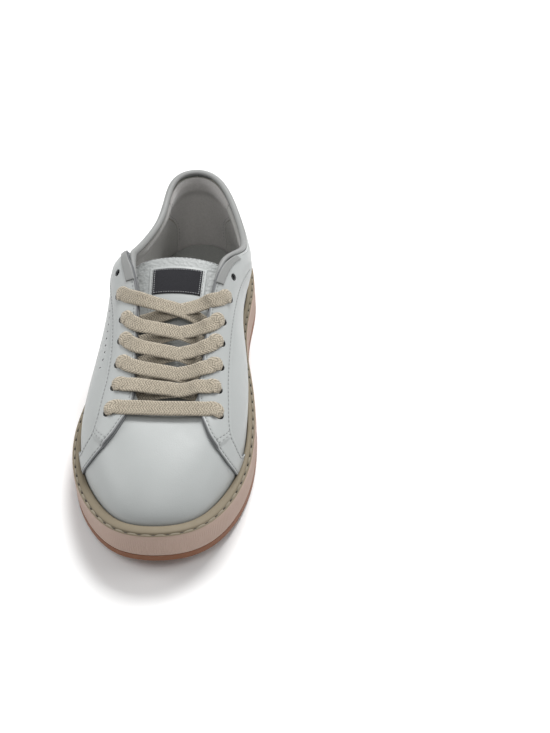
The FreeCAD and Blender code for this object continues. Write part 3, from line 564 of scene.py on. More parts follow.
# ---------------------------------------------------------------- materials
class Look:
    """A procedural material: a Principled shader with colour, roughness and bump from nodes."""

    def __init__(self, name, color, roughness):
        self.material = bpy.data.materials.new(name)
        self.material.use_nodes = True
        self.tree = self.material.node_tree
        self.shader = self.tree.nodes["Principled BSDF"]
        self.shader.inputs["Base Color"].default_value = (*color, 1)
        self.shader.inputs["Roughness"].default_value = roughness
        self.material.diffuse_color = (*color, 1)
        self.color = color
        self.normal = None

    def node(self, kind, inputs=None, **settings):
        node = self.tree.nodes.new(kind)
        for key, value in settings.items():
            setattr(node, key, value)
        for key, value in (inputs or {}).items():
            if hasattr(value, "is_output"):
                self.tree.links.new(value, node.inputs[key])
            else:
                node.inputs[key].default_value = value
        return node

    def place(self, flat=False):
        node = self.node("ShaderNodeTexCoord")
        return node.outputs["UV"] if flat else node.outputs["Object"]

    def noise(self, scale, detail=2.0):
        inputs = {"Vector": self.place(), "Scale": scale, "Detail": detail}
        return self.node("ShaderNodeTexNoise", inputs).outputs["Fac"]

    def cells(self, scale):
        inputs = {"Vector": self.place(), "Scale": scale}
        return self.node("ShaderNodeTexVoronoi", inputs, feature="SMOOTH_F1").outputs["Distance"]

    def sum_of(self, a, b, operation="ADD"):
        return self.node("ShaderNodeMath", {0: a, 1: b}, operation=operation).outputs[0]

    def span(self, value, low, high, out_low=0.0, out_high=1.0):
        inputs = {0: value, 1: low, 2: high, 3: out_low, 4: out_high}
        return self.node("ShaderNodeMapRange", inputs).outputs[0]

    def bands(self, axis, pitch):
        """Even stripes across a UV axis, in metres."""
        split = self.node("ShaderNodeSeparateXYZ", {0: self.place(True)})
        turned = self.sum_of(split.outputs[axis], 2 * math.pi / pitch, "MULTIPLY")
        return self.node("ShaderNodeMath", {0: turned}, operation="SINE").outputs[0]

    def tint(self, value, dark, light):
        """Colour between two shades of the base colour."""
        mix = self.node("ShaderNodeMix", data_type="RGBA")
        mix.inputs["A"].default_value = (*[c * dark for c in self.color], 1)
        mix.inputs["B"].default_value = (*[min(1.0, c * light) for c in self.color], 1)
        self.tree.links.new(value, mix.inputs["Factor"])
        self.tree.links.new(mix.outputs["Result"], self.shader.inputs["Base Color"])
        return self

    def rough(self, value, low, high):
        self.tree.links.new(self.span(value, 0.25, 0.75, low, high), self.shader.inputs["Roughness"])
        return self

    def bump(self, height, strength, distance):
        node = self.node("ShaderNodeBump", {"Height": height, "Strength": strength, "Distance": distance})
        if self.normal is not None:
            self.tree.links.new(self.normal, node.inputs["Normal"])
        self.normal = node.outputs["Normal"]
        self.tree.links.new(self.normal, self.shader.inputs["Normal"])
        return self


def leather(name, color, roughness=0.42, pebbles=0.0):
    look = Look(name, color, roughness)
    look.shader.inputs["Specular IOR Level"].default_value = 0.42
    pores = look.cells(1500)
    grain = look.noise(2600, 3)
    broad = look.noise(38, 3)
    mottle = look.sum_of(look.sum_of(broad, 0.75, "MULTIPLY"), look.sum_of(grain, 0.25, "MULTIPLY"))
    look.tint(mottle, 0.955, 1.03)
    look.rough(look.noise(160, 4), roughness - 0.06, roughness + 0.08)
    look.bump(broad, 0.25, 0.0010)
    look.bump(look.sum_of(pores, grain), 0.16, 0.00022)
    if pebbles:
        look.bump(look.cells(620), pebbles, 0.0006)
        look.bump(look.noise(230, 3), pebbles, 0.0008)
    return look.material


def rubber(name, color, roughness=0.62, speck=0.9):
    look = Look(name, color, roughness)
    look.shader.inputs["Specular IOR Level"].default_value = 0.35
    dust = look.noise(900, 4)
    look.tint(look.sum_of(look.noise(26, 3), look.sum_of(dust, 0.4, "MULTIPLY")), speck, 1.06)
    look.rough(look.noise(220, 3), roughness - 0.08, roughness + 0.1)
    look.bump(look.noise(3200, 2), 0.18, 0.00018)
    return look.material


def cloth(name, color, pitch=0.0011, roughness=0.9, fuzz=0.4):
    look = Look(name, color, roughness)
    look.shader.inputs["Sheen Weight"].default_value = fuzz
    look.shader.inputs["Sheen Roughness"].default_value = 0.5
    look.shader.inputs["Specular IOR Level"].default_value = 0.15
    weave = look.sum_of(look.bands(0, pitch), look.bands(1, pitch), "MULTIPLY")
    mottle = look.sum_of(look.noise(700, 4), look.sum_of(weave, 0.12, "MULTIPLY"))
    look.tint(mottle, 0.82, 1.14)
    look.bump(weave, 0.35, 0.00025)
    look.bump(look.noise(2400, 3), 0.3, 0.0002)
    return look.material


def lace_cloth(name, color):
    """Braided cotton: slanting strands meeting in ribs along the lace, light fibres, and painted shade in the
    gaps.
    """
    look = Look(name, color, 0.92)
    look.shader.inputs["Sheen Weight"].default_value = 0.3
    look.shader.inputs["Specular IOR Level"].default_value = 0.12
    split = look.node("ShaderNodeSeparateXYZ", {0: look.place(True)})
    zigzag = look.node("ShaderNodeMath", {0: split.outputs[1], 1: 0.0022}, operation="PINGPONG").outputs[0]
    place = look.sum_of(split.outputs[0], look.sum_of(zigzag, 0.8, "MULTIPLY"))
    wander = look.sum_of(look.noise(500, 2), 0.0008, "MULTIPLY")
    turned = look.sum_of(look.sum_of(place, wander), 2 * math.pi / 0.0016, "MULTIPLY")
    strands = look.span(look.node("ShaderNodeMath", {0: turned}, operation="SINE").outputs[0], -1.0, 0.4)
    specks = look.span(look.noise(1300, 2), 0.36, 0.62)
    # The strands' dark troughs are painted shade in the gaps between them; the specks are light fibres.
    shade = look.sum_of(look.sum_of(strands, 0.55, "MULTIPLY"), look.sum_of(specks, 0.45, "MULTIPLY"))
    look.tint(shade, 0.5, 1.22)
    look.bump(strands, 0.5, 0.0004)
    look.bump(look.noise(2600, 3), 0.3, 0.0002)
    return look.material


def thread(name, color):
    look = Look(name, color, 0.7)
    look.shader.inputs["Sheen Weight"].default_value = 0.25
    fibre = look.noise(4200, 3)
    look.tint(fibre, 0.8, 1.15)
    look.bump(fibre, 0.4, 0.0001)
    return look.material


def foam(name, color):
    look = Look(name, color, 0.95)
    look.tint(look.noise(300, 3), 0.85, 1.1)
    look.bump(look.cells(1800), 0.5, 0.0003)
    return look.material


def plastic(name, color):
    look = Look(name, color, 0.3)
    look.tint(look.noise(500, 2), 0.93, 1.04)
    look.rough(look.noise(900, 2), 0.25, 0.4)
    look.bump(look.noise(1500, 2), 0.08, 0.0001)
    return look.material


WHITE = (0.425, 0.443, 0.438)
LOOKS = {
    "leather": leather("white_leather_look", WHITE),
    "inner_leather": leather("tongue_leather_look", (0.38, 0.395, 0.39), 0.5, 0.55),
    # Dark grey of cut edges and eyelet hole walls: partly the edge's own grey, partly painted shade.
    "edge_grey_and_shade": leather("edge_grey_and_painted_shade_look", (0.20, 0.205, 0.21), 0.7),
    "trim": leather("grey_trim_look", (0.27, 0.275, 0.27), 0.55),
    "wall": rubber("wall_rubber_look", (0.43, 0.315, 0.26)),
    "lip": rubber("lip_rubber_look", (0.215, 0.18, 0.125)),
    "gum": rubber("gum_rubber_look", (0.21, 0.085, 0.04), 0.55),
    "sole_thread": thread("sole_thread_look", (0.27, 0.235, 0.175)),
    "seam_thread": thread("seam_thread_look", (0.30, 0.31, 0.31)),
    # Near-black thread colour: painted shade for the stitch holes between the sole stitches.
    "shade": thread("stitch_hole_painted_shade_look", (0.03, 0.022, 0.016)),
    "grey_thread": thread("grey_thread_look", (0.33, 0.33, 0.33)),
    "lining": cloth("lining_look", (0.56, 0.55, 0.53)),
    "heel_lining": cloth("heel_lining_look", (0.60, 0.58, 0.565), 0.0007, 0.95, 0.6),
    "footbed": cloth("footbed_look", (0.32, 0.325, 0.31), 0.0013),
    "lace": lace_cloth("lace_look", (0.46, 0.405, 0.32)),
    "label": cloth("label_look", (0.022, 0.022, 0.026), 0.0006, 0.8, 0.1),
    "label_mark": thread("label_mark_look", (0.45, 0.46, 0.47)),
    "foam": foam("foam_look", (0.62, 0.60, 0.55)),
    "board": foam("board_look", (0.42, 0.35, 0.26)),
    "aglet": plastic("aglet_look", (0.62, 0.58, 0.50)),
}


# ---------------------------------------------------------------- sole
def around_length(offset, count):
    """Stations evenly spaced in millimetres round the outline, and their travelled length."""
    fine = np.linspace(0, ROUND, 6001)
    ring = outline(fine, offset)
    travelled = travel(ring)
    goals = np.linspace(0, travelled[-1], count + 1)[:-1]
    return np.interp(goals, travelled, fine), goals, travelled[-1]


def wall_offset(height):
    """How far the leaning sole wall stands outside the outline at a height over the floor."""
    top = WALL_HEIGHT + TOE_SPRING + LIP_RISE + 6.0
    return WALL_FLARE - (WALL_FLARE + 0.4) * (height + 2.0) / (top + 2.0)


SEAM_OUT = 0.75           # where the stitched groove starts, inside the outline


def cup_rim():
    """Rubber cup: ribbed wall, stitched ledge, rounded lip and inner wall, swept round the outline."""
    u, travelled, total = around_length(0.0, 3240)
    inner = -(INSETS.at(u)[:, 0] - LIP_GAP)
    y = outline(u, 0.0)[:, 1]
    floor, rim = ground(y), lip(y)
    ribs = 0.085 * np.sin(2 * math.pi * travelled / total * round(total / 1.35))
    columns = []

    def add(offset, height):
        columns.append(np.column_stack([outline(u, offset), height]))

    base = floor + OUTSOLE + 0.02
    add(inner, base)
    add(wall_offset(base) - 0.7, base)
    add(wall_offset(base) - 0.15, base + 0.12)
    add(wall_offset(base + 0.6), base + 0.6)
    shoulder = rim - SEAT_DEPTH
    for share in np.linspace(0.06, 0.9, 9):
        height = base + (shoulder - base) * share
        add(wall_offset(height) + ribs * ease(share * 9) * ease((0.93 - share) * 9), height)
    add(wall_offset(shoulder - 0.1) - 0.03, shoulder - 0.1)
    add(wall_offset(shoulder) - 0.22, shoulder + 0.35)
    add(wall_offset(shoulder) - 0.62, shoulder + 0.62)
    add(np.full_like(u, -SEAM_OUT + 0.05), rim - 0.85)
    add(np.full_like(u, -SEAM_OUT - 0.1), rim - 1.45)
    add(np.full_like(u, -SEAM_OUT - 0.8), rim - 1.45)
    add(np.full_like(u, -SEAM_OUT - 0.95), rim - 0.62)
    add(np.full_like(u, -SEAM_OUT - 1.5), rim - 0.22)
    add(np.full_like(u, -SEAM_OUT - 2.3), rim - 0.04)
    for share in (0.33, 0.66):
        add((-SEAM_OUT - 2.3) * (1 - share) + (inner + 0.7) * share, rim + 0.02)
    add(inner + 0.7, rim)
    add(inner + 0.2, rim - 0.2)
    add(inner, rim - 0.7)
    add(inner, floor + OUTSOLE + CUP_FLOOR)
    points = np.stack(columns, 1)
    rows, many = points.shape[:2]
    quads = grid_quads(rows, many, close_rows=True, close_columns=True)
    face = np.tile((np.arange(many) >= 14) & (np.arange(many) < many - 1), rows).astype(int)
    step = np.linalg.norm(np.diff(points, axis=1), axis=-1).mean(0)
    rise = np.concatenate([[0], np.cumsum(step)])
    uv = strip_uv(travelled, rise[None])
    return make_mesh("cup", points.reshape(-1, 3), quads, uv, face, (LOOKS["wall"], LOOKS["lip"]))


def lens(name, inset_of, top, under, materials, count=110, across=36, low=0.02):
    """Closed slab inside the outline: a grid that pairs each station with the one across from it."""
    u = np.linspace(low, HEEL - low, count)
    one = outline(u, -inset_of(u))
    other = outline(ROUND - u, -inset_of(ROUND - u))
    s = (1 - np.cos(np.linspace(0, math.pi, across))) / 2
    plan = one[:, None] * (1 - s)[None, :, None] + other[:, None] * s[None, :, None]
    rim = np.minimum(np.minimum(s, 1 - s)[None] * np.linalg.norm(one - other, axis=-1)[:, None], 40)
    ends = np.minimum(plan[..., 1] - plan[..., 1].min(), plan[..., 1].max() - plan[..., 1])
    rim = np.minimum(rim, ends + 0.3)
    upper = np.concatenate([plan, top(plan[..., 0], plan[..., 1], rim)[..., None]], -1)
    lower = np.concatenate([plan, under(plan[..., 0], plan[..., 1], rim)[..., None]], -1)
    quads = np.concatenate(slab_quads(plan.shape[:2]))
    points = np.concatenate([upper.reshape(-1, 3), lower.reshape(-1, 3)])
    corner = points[quads[0]]
    if np.cross(corner[1] - corner[0], corner[3] - corner[0])[2] < 0:
        quads = quads[:, ::-1]
    return make_mesh(name, points, quads, points[:, :2] * MM, None, materials)


def sole_stitches():
    u, _, total = around_length(-SEAT_WIDTH / 2, 3600)
    line = outline(u, -SEAM_OUT - 0.42)
    line = np.column_stack([line, lip(line[:, 1]) - 1.02])
    line = np.vstack([line, line[:1]])
    normals = np.tile((0.0, 0.0, 1.0), (len(line), 1))
    pitch = total / round(total / STITCH_PITCH) * 0.9999
    thread = stitches("sole_stitches", [(line, normals)], pitch, STITCH_LENGTH + 0.3, 1.0, 1.1,
                      LOOKS["sole_thread"])
    # Near-black spindles sunk between the stitches: painted shade where the thread goes down into the rubber.
    half = int(len(line) * pitch / total / 2)
    sunk = np.roll(line[:-1], half, 0)
    sunk = np.vstack([sunk, sunk[:1]]) - (0, 0, 0.12)
    holes = stitches("sole_stitch_hole_painted_shade", [(sunk, normals)], pitch, 2.3, 0.95, 0.9, LOOKS["shade"])
    return thread, holes


def board_top(y):
    return lip(y) - UPPER_DEPTH + 0.6


# ---------------------------------------------------------------- upper
STEP_SHARE = 0.25         # share up the facing at which the layer under it starts
STEP_HEIGHT = 1.25
BARS = (STEP_SHARE + 0.03, STEP_SHARE + 0.052)
PUNCH_TOP = 6              # a hole's cutter, from over the skin to its full depth
PUNCH_DEPTH = 12


def lining_top(u, v):
    return -(UNDER_STIFFENER + padding(u, v))


def lining_under(u, v):
    return lining_top(u, v) - LINING


def collar_puff(u, v):
    return 0.9 * padding(u, v) / COLLAR_FOAM


def side_domain(domain, side):
    return domain if side > 0 else mirrored(domain)


def facing_lift(s, t):
    """Rise of the facing over the layer under it: full at the throat, gone at the rear seam."""
    return STEP_HEIGHT * ease((t - STEP_SHARE) / 0.028) * ease((1.0 - s) / 0.45)


def facing_relief(u, v, s, t, borders):
    """Grooves along the stitched edges of the facing and along its bars of stitches."""
    cut = channel(2.1)
    bars = sum(np.exp(-((t - place) / 0.003) ** 2) for place in BARS)
    return np.where(t < 0.98, cut(borders[0]), 0.0) + cut(borders[1]) - 0.2 * bars


def facing_line(side, edge, distance, low, high, count=300):
    """Line beside a border of the facing, on its outer face, with the second layer counted in."""
    domain = side_domain(FACING, side)
    return facing_points(domain, *beside(domain, skin, edge, distance, low, high, count))


def facing_points(domain, s, t):
    u, v = domain(s, t)
    return skin(u, v, LAYER_GAP + OVERLAY + facing_lift(s, t) + 0.02), skin_normal(u, v)


def bar_rows(side):
    """Two rows of stitches straight across the facing, just above the step under it."""
    domain = side_domain(FACING, side)
    s = np.linspace(0.1, 0.9, 60)
    return [facing_points(domain, s, np.full_like(s, place)) for place in BARS]


def punch(piece, holes, radius=EYELET_RADIUS, top=PUNCH_TOP, depth=PUNCH_DEPTH):
    """Round holes through a sheet, cut with cylinders built along the local normals."""
    around = 28
    ring = np.linspace(0, 2 * math.pi, around, endpoint=False)
    points, faces = [], []
    for u, v in holes:
        centre, normal = skin(u, v), skin_normal(u, v)
        side = unit(np.cross(normal, (0.3, 0.9, 0.2)))
        other = np.cross(normal, side)
        circle = (np.cos(ring)[:, None] * side + np.sin(ring)[:, None] * other) * radius
        start = len(points)
        points += list(centre + normal * top + circle) + list(centre + normal * (top - depth) + circle)
        faces.append(list(range(start, start + around)))
        faces.append(list(range(start + around, start + 2 * around))[::-1])
        for k in range(around):
            following = (k + 1) % around
            faces.append([start + k, start + around + k, start + around + following, start + following])
    mesh = bpy.data.meshes.new("cutter")
    mesh.from_pydata(((np.array(points) + SHIFT) * MM).tolist(), [], faces)
    # Hole walls take the cut-edge grey, partly painted shade.
    mesh.materials.append(LOOKS["edge_grey_and_shade"])
    mesh.update()
    cutter = bpy.data.objects.new("cutter", mesh)
    bpy.context.scene.collection.objects.link(cutter)
    modifier = piece.modifiers.new("holes", "BOOLEAN")
    modifier.operation = "DIFFERENCE"
    modifier.solver = "EXACT"
    modifier.material_mode = "TRANSFER"
    modifier.object = cutter
    bpy.context.view_layer.update()
    graph = bpy.context.evaluated_depsgraph_get()
    cut = bpy.data.meshes.new_from_object(piece.evaluated_get(graph))
    piece.modifiers.remove(modifier)
    old = piece.data
    piece.data = cut
    cut.name = piece.name
    bpy.data.meshes.remove(old)
    bpy.data.objects.remove(cutter)
    bpy.data.meshes.remove(mesh)
    return piece


def at_side(u, side):
    return u if side > 0 else ROUND - u


def tube_mesh(name, centres, sides, ups, half_widths, half_heights, material, around=20):
    """Closed tube of elliptical sections along centres; its ends are drawn to a point."""
    ring = np.linspace(0, 2 * math.pi, around, endpoint=False)
    body = (centres[:, None] + sides[:, None] * (np.cos(ring) * half_widths[:, None])[..., None]
            + ups[:, None] * (np.sin(ring) * half_heights[:, None])[..., None])
    count = len(centres)
    quads = grid_quads(count, around, close_columns=True)
    j = np.arange(around)
    points = body.reshape(-1, 3)
    low = np.repeat(centres[:1], around, 0)
    high = np.repeat(centres[-1:], around, 0)
    base = len(points)
    cap = np.stack([base + (j + 1) % around, j + base, j, (j + 1) % around], -1)
    last = (count - 1) * around
    tip = base + around
    end = np.stack([tip + j, tip + (j + 1) % around, last + (j + 1) % around, last + j], -1)
    girth = ring / (2 * math.pi) * 2.6 * (half_widths.mean() + half_heights.mean())
    uv = np.concatenate([strip_uv(travel(centres), girth[None]), np.zeros((2 * around, 2))])
    return make_mesh(name, np.concatenate([points, low, high]), np.concatenate([quads, cap, end]), uv, None,
                     (material,))


def collar_tube():
    count = 800
    u = np.linspace(ROLL_START, ROUND - ROLL_START, count)
    reach = np.minimum(u, ROUND - u)
    size = 0.5 + 0.5 * ease((reach - ROLL_START) / 0.9)
    centre = skin(u, 1.0, -STACK / 2 + 1.9 * (1 - ease((reach - 6.4) / 0.9)))
    out = unit(skin(u, 1.0, 1.0) - skin(u, 1.0, 0.0))
    run = unit(skin_bare(u + 0.01, 1.0) - skin_bare(u - 0.01, 1.0))
    up = unit(np.cross(out, run))
    up *= np.sign(up[:, 2:])
    pucker = 1 + 0.012 * np.sin(np.arange(count) * 1.1) + 0.01 * np.sin(np.arange(count) * 0.37)
    return tube_mesh("collar_roll", centre, out, up, ROLL_WIDTH / 2 * size * pucker,
                     ROLL_HEIGHT / 2 * size * pucker, LOOKS["trim"], 28)


# ---------------------------------------------------------------- tongue
def throat_middle(u):
    return (skin_bare(u, 1.0) + skin_bare(ROUND - u, 1.0)) / 2


def tongue_line():
    """Middle line of the tongue's face, from its sewn end under the vamp to its tip."""
    points = [skin(0.0, v, -STACK - LACE_GAP - sink) for v, sink in ((0.86, 0.6), (0.93, 2.2), (0.985, 3.7))]
    points += [throat_middle(u) - (0, 0, TONGUE_DROP) for u in (3.0, 4.0, 5.0, 6.0, COLLAR_START)]
    points.append(points[-1] + unit(points[-1] - points[-2]) * TONGUE_TIP)
    return np.array(points)


TONGUE_LINE = tongue_line()


def tongue_bare(s, t):
    point = flow(TONGUE_LINE, t)
    reach = s * flow([(w,) for w in TONGUE_HALF_WIDTHS], t)[..., 0]
    return point + np.stack([reach, 0 * reach, -TONGUE_ARCH * reach * reach], -1)


def tongue_normal(s, t):
    step = 0.002
    high = np.minimum(t + step, 1.0)
    across = tongue_bare(s + step, t) - tongue_bare(s - step, t)
    along = tongue_bare(s, high) - tongue_bare(s, high - 2 * step)
    return unit(np.cross(across, along))


def tongue_face(s, t, offset=0.0):
    s, t = np.broadcast_arrays(np.asarray(s, float), np.asarray(t, float))
    return tongue_bare(s, t) + tongue_normal(s, t) * np.asarray(offset)[..., None]


def tongue_domain(side, low, high, corner=0.0):
    """Strip of the tongue; corner rounds its top corners off by that share of the length."""
    def shaped(s, t):
        across = side * (2 * s - 1)
        return across, low + (high - corner * np.abs(across) ** 5 - low) * t
    return shaped


def tongue_swell(across, t):
    """How far the padding lifts the tongue's face, with soft creases toward its sides."""
    body = ease((t - 0.6) / 0.12) * (1 - ease((t - 0.965) / 0.035))
    body = body * (1 - ease((np.abs(across) - 0.62) / 0.38))
    wander = np.sin(across * 7 + t * 31) + 0.6 * np.sin(across * 17 - t * 53)
    fold = np.sin(t * 150 + 2.2 * wander) * ease((np.abs(across) - 0.5) / 0.15) * ease((t - 0.7) / 0.1)
    return 1.5 * body + 0.13 * fold * (1 - ease((np.abs(across) - 0.92) / 0.08))


def tongue_relief(across, along, s, t, borders):
    seam = channel(3.0, 0.6, 0.35)
    edge = seam(borders[0]) + seam(borders[1]) + seam(borders[3])
    return tongue_swell(across, along) + edge * (along > 0.5)


# ---------------------------------------------------------------- lace
OVER = LAYER_GAP + OVERLAY + LACE_GAP + LACE_THICKNESS / 2
UNDER = -(STACK + LACE_GAP + LACE_THICKNESS / 2)
FLAT = (LACE_WIDTH / 2, LACE_THICKNESS / 2)
EASING = (LACE_WIDTH * 0.27, LACE_BUNCHED_THICKNESS * 0.4)
BUNCHED = (LACE_BUNCHED_WIDTH / 2, LACE_BUNCHED_THICKNESS / 2)
TURNING = (LACE_WIDTH * 0.44, LACE_THICKNESS * 0.55)
FOLDED = (LACE_WIDTH * 0.27, LACE_THICKNESS * 0.8)
LACED_ROWS = 6
TURN_ROOM = 3.7
# Shares of the way across the throat, and height over its edges. The end that comes up on the outer side
# lies over the other one.
OUTER_CROSSING = ((0.22, -0.6), (0.42, 1.2), (0.7, 2.2))
INNER_CROSSING = ((0.22, -3.2), (0.45, -1.0), (0.65, 0.0), (0.82, 1.1))
BAR_RISE = ((0.12, 0.5), (0.5, 0.3), (0.88, 0.5))
THROAT_UP = unit(np.array((0, -0.42, 0.9)))


def hole_frame(row, side):
    """Centre of an eyelet, the outward normal and the direction away from the throat."""
    u, v = EYELETS[row]
    u = at_side(u, side)
    centre = skin(u, v)
    normal = unit(skin(u, v, 1.0) - centre)
    away = centre - skin(u, 1.0)
    return centre, normal, unit(away - normal * np.dot(away, normal))


def visit(row, side, sign):
    """Stops of the lace over a facing, down its eyelet and back under it, each with its face's direction."""
    centre, normal, away = hole_frame(row, side)
    u, v = EYELETS[row]
    u = at_side(u, side)
    face, back, out = sign * normal, -sign * normal, sign * away
    middle = (v + 1.0) / 2 + 0.01

    def near(offset):
        return centre + normal * offset - away * TURN_ROOM

    top = OVER + STEP_HEIGHT - 0.1
    over = []
    if row > 0:
        ahead, halfway = at_side(EYELETS[row][0] - 0.28, side), at_side(EYELETS[row][0] - 0.13, side)
        over = [(skin(ahead, 1.0, top + 0.1), face, FLAT), (skin(halfway, middle, top), face, FLAT)]
    over.append((near(top + 0.1), face, FLAT))
    over.append((centre + normal * (top - 0.1) - away * 1.3, unit(face + 0.35 * out), TURNING))
    hole = [(centre + normal * (top - 1.1) - away * 0.15, unit(out + 0.5 * face), FOLDED)]
    hole += [(centre + normal * depth, out, BUNCHED) for depth in (-0.6, -STACK - 0.2)]
    sink = 1.1 if row == 0 else 0.7
    under = [(near(UNDER - sink), back, EASING), (skin(u, middle, UNDER - sink), back, FLAT),
             (skin(u, 1.0, UNDER - sink), back, FLAT)]
    return over, hole, under


def strand(first_side):
    """Half of the lace: from the bar over the lowest row, criss-cross, to its end tucked inside."""
    stops, side, sign = [], first_side, 1.0
    for row in range(LACED_ROWS):
        over, hole, under = visit(row, side, sign)
        if stops:
            start, end = stops[-1][0], over[0][0]
            for share, height in OUTER_CROSSING if side < 0 else INNER_CROSSING:
                point = start * (1 - share) + end * share
                point[2] = (start[2] - UNDER) * (1 - share) + (end[2] - OVER - STEP_HEIGHT) * share + height
                stops.append((point, sign * THROAT_UP, FLAT))
        stops += over + hole
        if row + 1 < LACED_ROWS:
            stops += under
            side, sign = -side, -sign
    u, v = EYELETS[LACED_ROWS - 1]
    u = at_side(u, side)
    normal = sign * hole_frame(LACED_ROWS - 1, side)[1]
    for drop, extra in ((0.06, 0.7), (0.12, 0.7), (0.18, 1.0)):
        stops.append((skin(u, v - drop, UNDER - extra), normal, FLAT if drop < 0.15 else EASING))
    stops.append((skin(u, v - 0.24, UNDER - 1.6), normal, (AGLET_RADIUS, AGLET_RADIUS)))
    return stops


def smooth_stops(stops, spacing):
    """Samples along a smooth course through the stops: points, facings and half sizes."""
    points = np.array([s[0] for s in stops])
    facings = np.array([s[1] for s in stops])
    sizes = np.array([s[2] for s in stops])
    gaps = np.linalg.norm(np.diff(points, axis=0), axis=-1)
    slopes = np.diff(points, axis=0) / gaps[:, None]
    speeds = np.empty_like(points)
    speeds[0], speeds[-1] = slopes[0], slopes[-1]
    before, after = gaps[:-1, None], gaps[1:, None]
    speeds[1:-1] = (slopes[1:] * before + slopes[:-1] * after) / (before + after)
    found = []
    for i, gap in enumerate(gaps):
        t = np.linspace(0, 1, max(2, math.ceil(gap / spacing)), endpoint=False)[:, None]
        point = ((2 * t ** 3 - 3 * t * t + 1) * points[i] + (t ** 3 - 2 * t * t + t) * gap * speeds[i]
                 + (3 * t * t - 2 * t ** 3) * points[i + 1] + (t ** 3 - t * t) * gap * speeds[i + 1])
        share = ease(t)
        found.append((point, facings[i] * (1 - share) + facings[i + 1] * share,
                      sizes[i] * (1 - share) + sizes[i + 1] * share))
    return [np.concatenate(part) for part in zip(*found)]


def lace_mesh():
    """Flat woven lace: herringbone relief on both faces, squeezed where it goes through an eyelet."""
    inner, outer = strand(1), strand(-1)
    bar = [(inner[0][0] * (1 - share) + outer[0][0] * share + (0, 0, rise), THROAT_UP, FLAT)
           for share, rise in BAR_RISE]
    stops = inner[::-1] + bar + outer
    points, facings, sizes = smooth_stops(stops, 0.42)
    run = unit(np.gradient(points, axis=0))
    across = unit(np.cross(facings, run))
    up = np.cross(run, across)
    travelled = travel(points)
    half = 25
    place = np.linspace(-1, 1, half)
    edge = np.sqrt(np.clip(1 - np.abs(place) ** 5, 0, 1))
    ring_across = np.concatenate([place, place[::-1][1:-1]])
    ring_up = np.concatenate([edge, -edge[::-1][1:-1]])
    face = np.concatenate([np.ones(half), -np.ones(half - 2)])
    width = sizes[:, :1] * ring_across[None]
    column = np.abs((ring_across * 2.0) % 1.0 - 0.5) * 2
    slant = column[None] * 1.1
    weave = 0.11 * np.sin(2 * math.pi * (travelled[:, None] + slant) / 1.5)
    ridge = 0.07 * np.cos(2 * math.pi * ring_across * 4.0)[None]
    lump = (weave + ridge) * (face * (np.abs(ring_up) > 0.2))[None]
    serration = 0.06 * np.sin(2 * math.pi * travelled / 1.7)[:, None] * np.abs(ring_across[None]) ** 8
    width = width * (1 + serration / 4)
    rise = sizes[:, 1:] * ring_up[None] + lump
    body = points[:, None] + across[:, None] * width[..., None] + up[:, None] * rise[..., None]
    count, around = body.shape[:2]
    quads = grid_quads(count, around, close_columns=True)
    uv = strip_uv(travelled, width)
    return make_mesh("woven_lace", body.reshape(-1, 3), quads, uv, None, (LOOKS["lace"],))


# ---------------------------------------------------------------- pieces of the sole
def put(piece, node, body="shoe"):
    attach(piece, body)
    if node:
        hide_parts(node)
    return piece


def sew(name, lines, look, pitch=2.8, length=2.0, width=0.42, height=0.36, body="shoe"):
    """A row of seam stitches of its own, over pieces that the design leaves unstitched."""
    return put(stitches(name, lines, pitch, length, width, height, LOOKS[look]), None, body)


put(cup_rim(), "cupsole")
floor_slab = lens("cup_floor", lambda u: INSETS.at(u)[:, 0] - LIP_GAP + 0.01,
                  lambda x, y, rim: ground(y) + OUTSOLE + CUP_FLOOR - 0.02,
                  lambda x, y, rim: ground(y) + OUTSOLE + 0.03, (LOOKS["wall"],), 80, 24)
put(floor_slab, "cupsole")
for piece in sole_stitches():
    put(piece, "sidewall_stitching")


def bed_top(x, y, rim):
    """Footbed's face: raised round its rim, hollow at the heel, rolled over at its edge."""
    cradle = 1.1 * np.exp(-rim / 7.0) - 0.9 * np.exp(-((y - 105) / 26) ** 2) * ease(rim / 18)
    roll = 1.4 * np.exp(-rim / 0.8)
    return board_top(y) + LAYER_GAP + FOOTBED - 0.9 + cradle - roll


bed = lens("footbed_pad", lambda u: INSETS.at(u)[:, 0] + STACK + 0.62, bed_top,
           lambda x, y, rim: board_top(y) + LAYER_GAP, (LOOKS["footbed"],), 150, 56)
put(bed, "footbed")


# ---------------------------------------------------------------- pieces of the upper
LOWEST_HOLES = [EYELETS[0], (ROUND - EYELETS[0][0], EYELETS[0][1])]
put(punch(sheet("vamp_leather", vamp_domain, 0.0, -LEATHER, 1.25, radius=0.4, materials=(LOOKS["leather"],)),
          LOWEST_HOLES), "vamp")
put(punch(sheet("vamp_lining_cloth", straight_domain(-2.9, 2.9, -0.95, 0.97), lining_top, lining_under, 1.6,
                radius=0.3, materials=(LOOKS["lining"],)),
          LOWEST_HOLES), "vamp_lining")

EDGED = (LOOKS["leather"], LOOKS["edge_grey_and_shade"])


def under_layer(s, t):
    """Layer under the front half of the facing, from its step up; it shows a little past the front edge."""
    return FACING(0.42 * s - 0.026, STEP_SHARE - 0.004 + (0.996 - STEP_SHARE) * t)


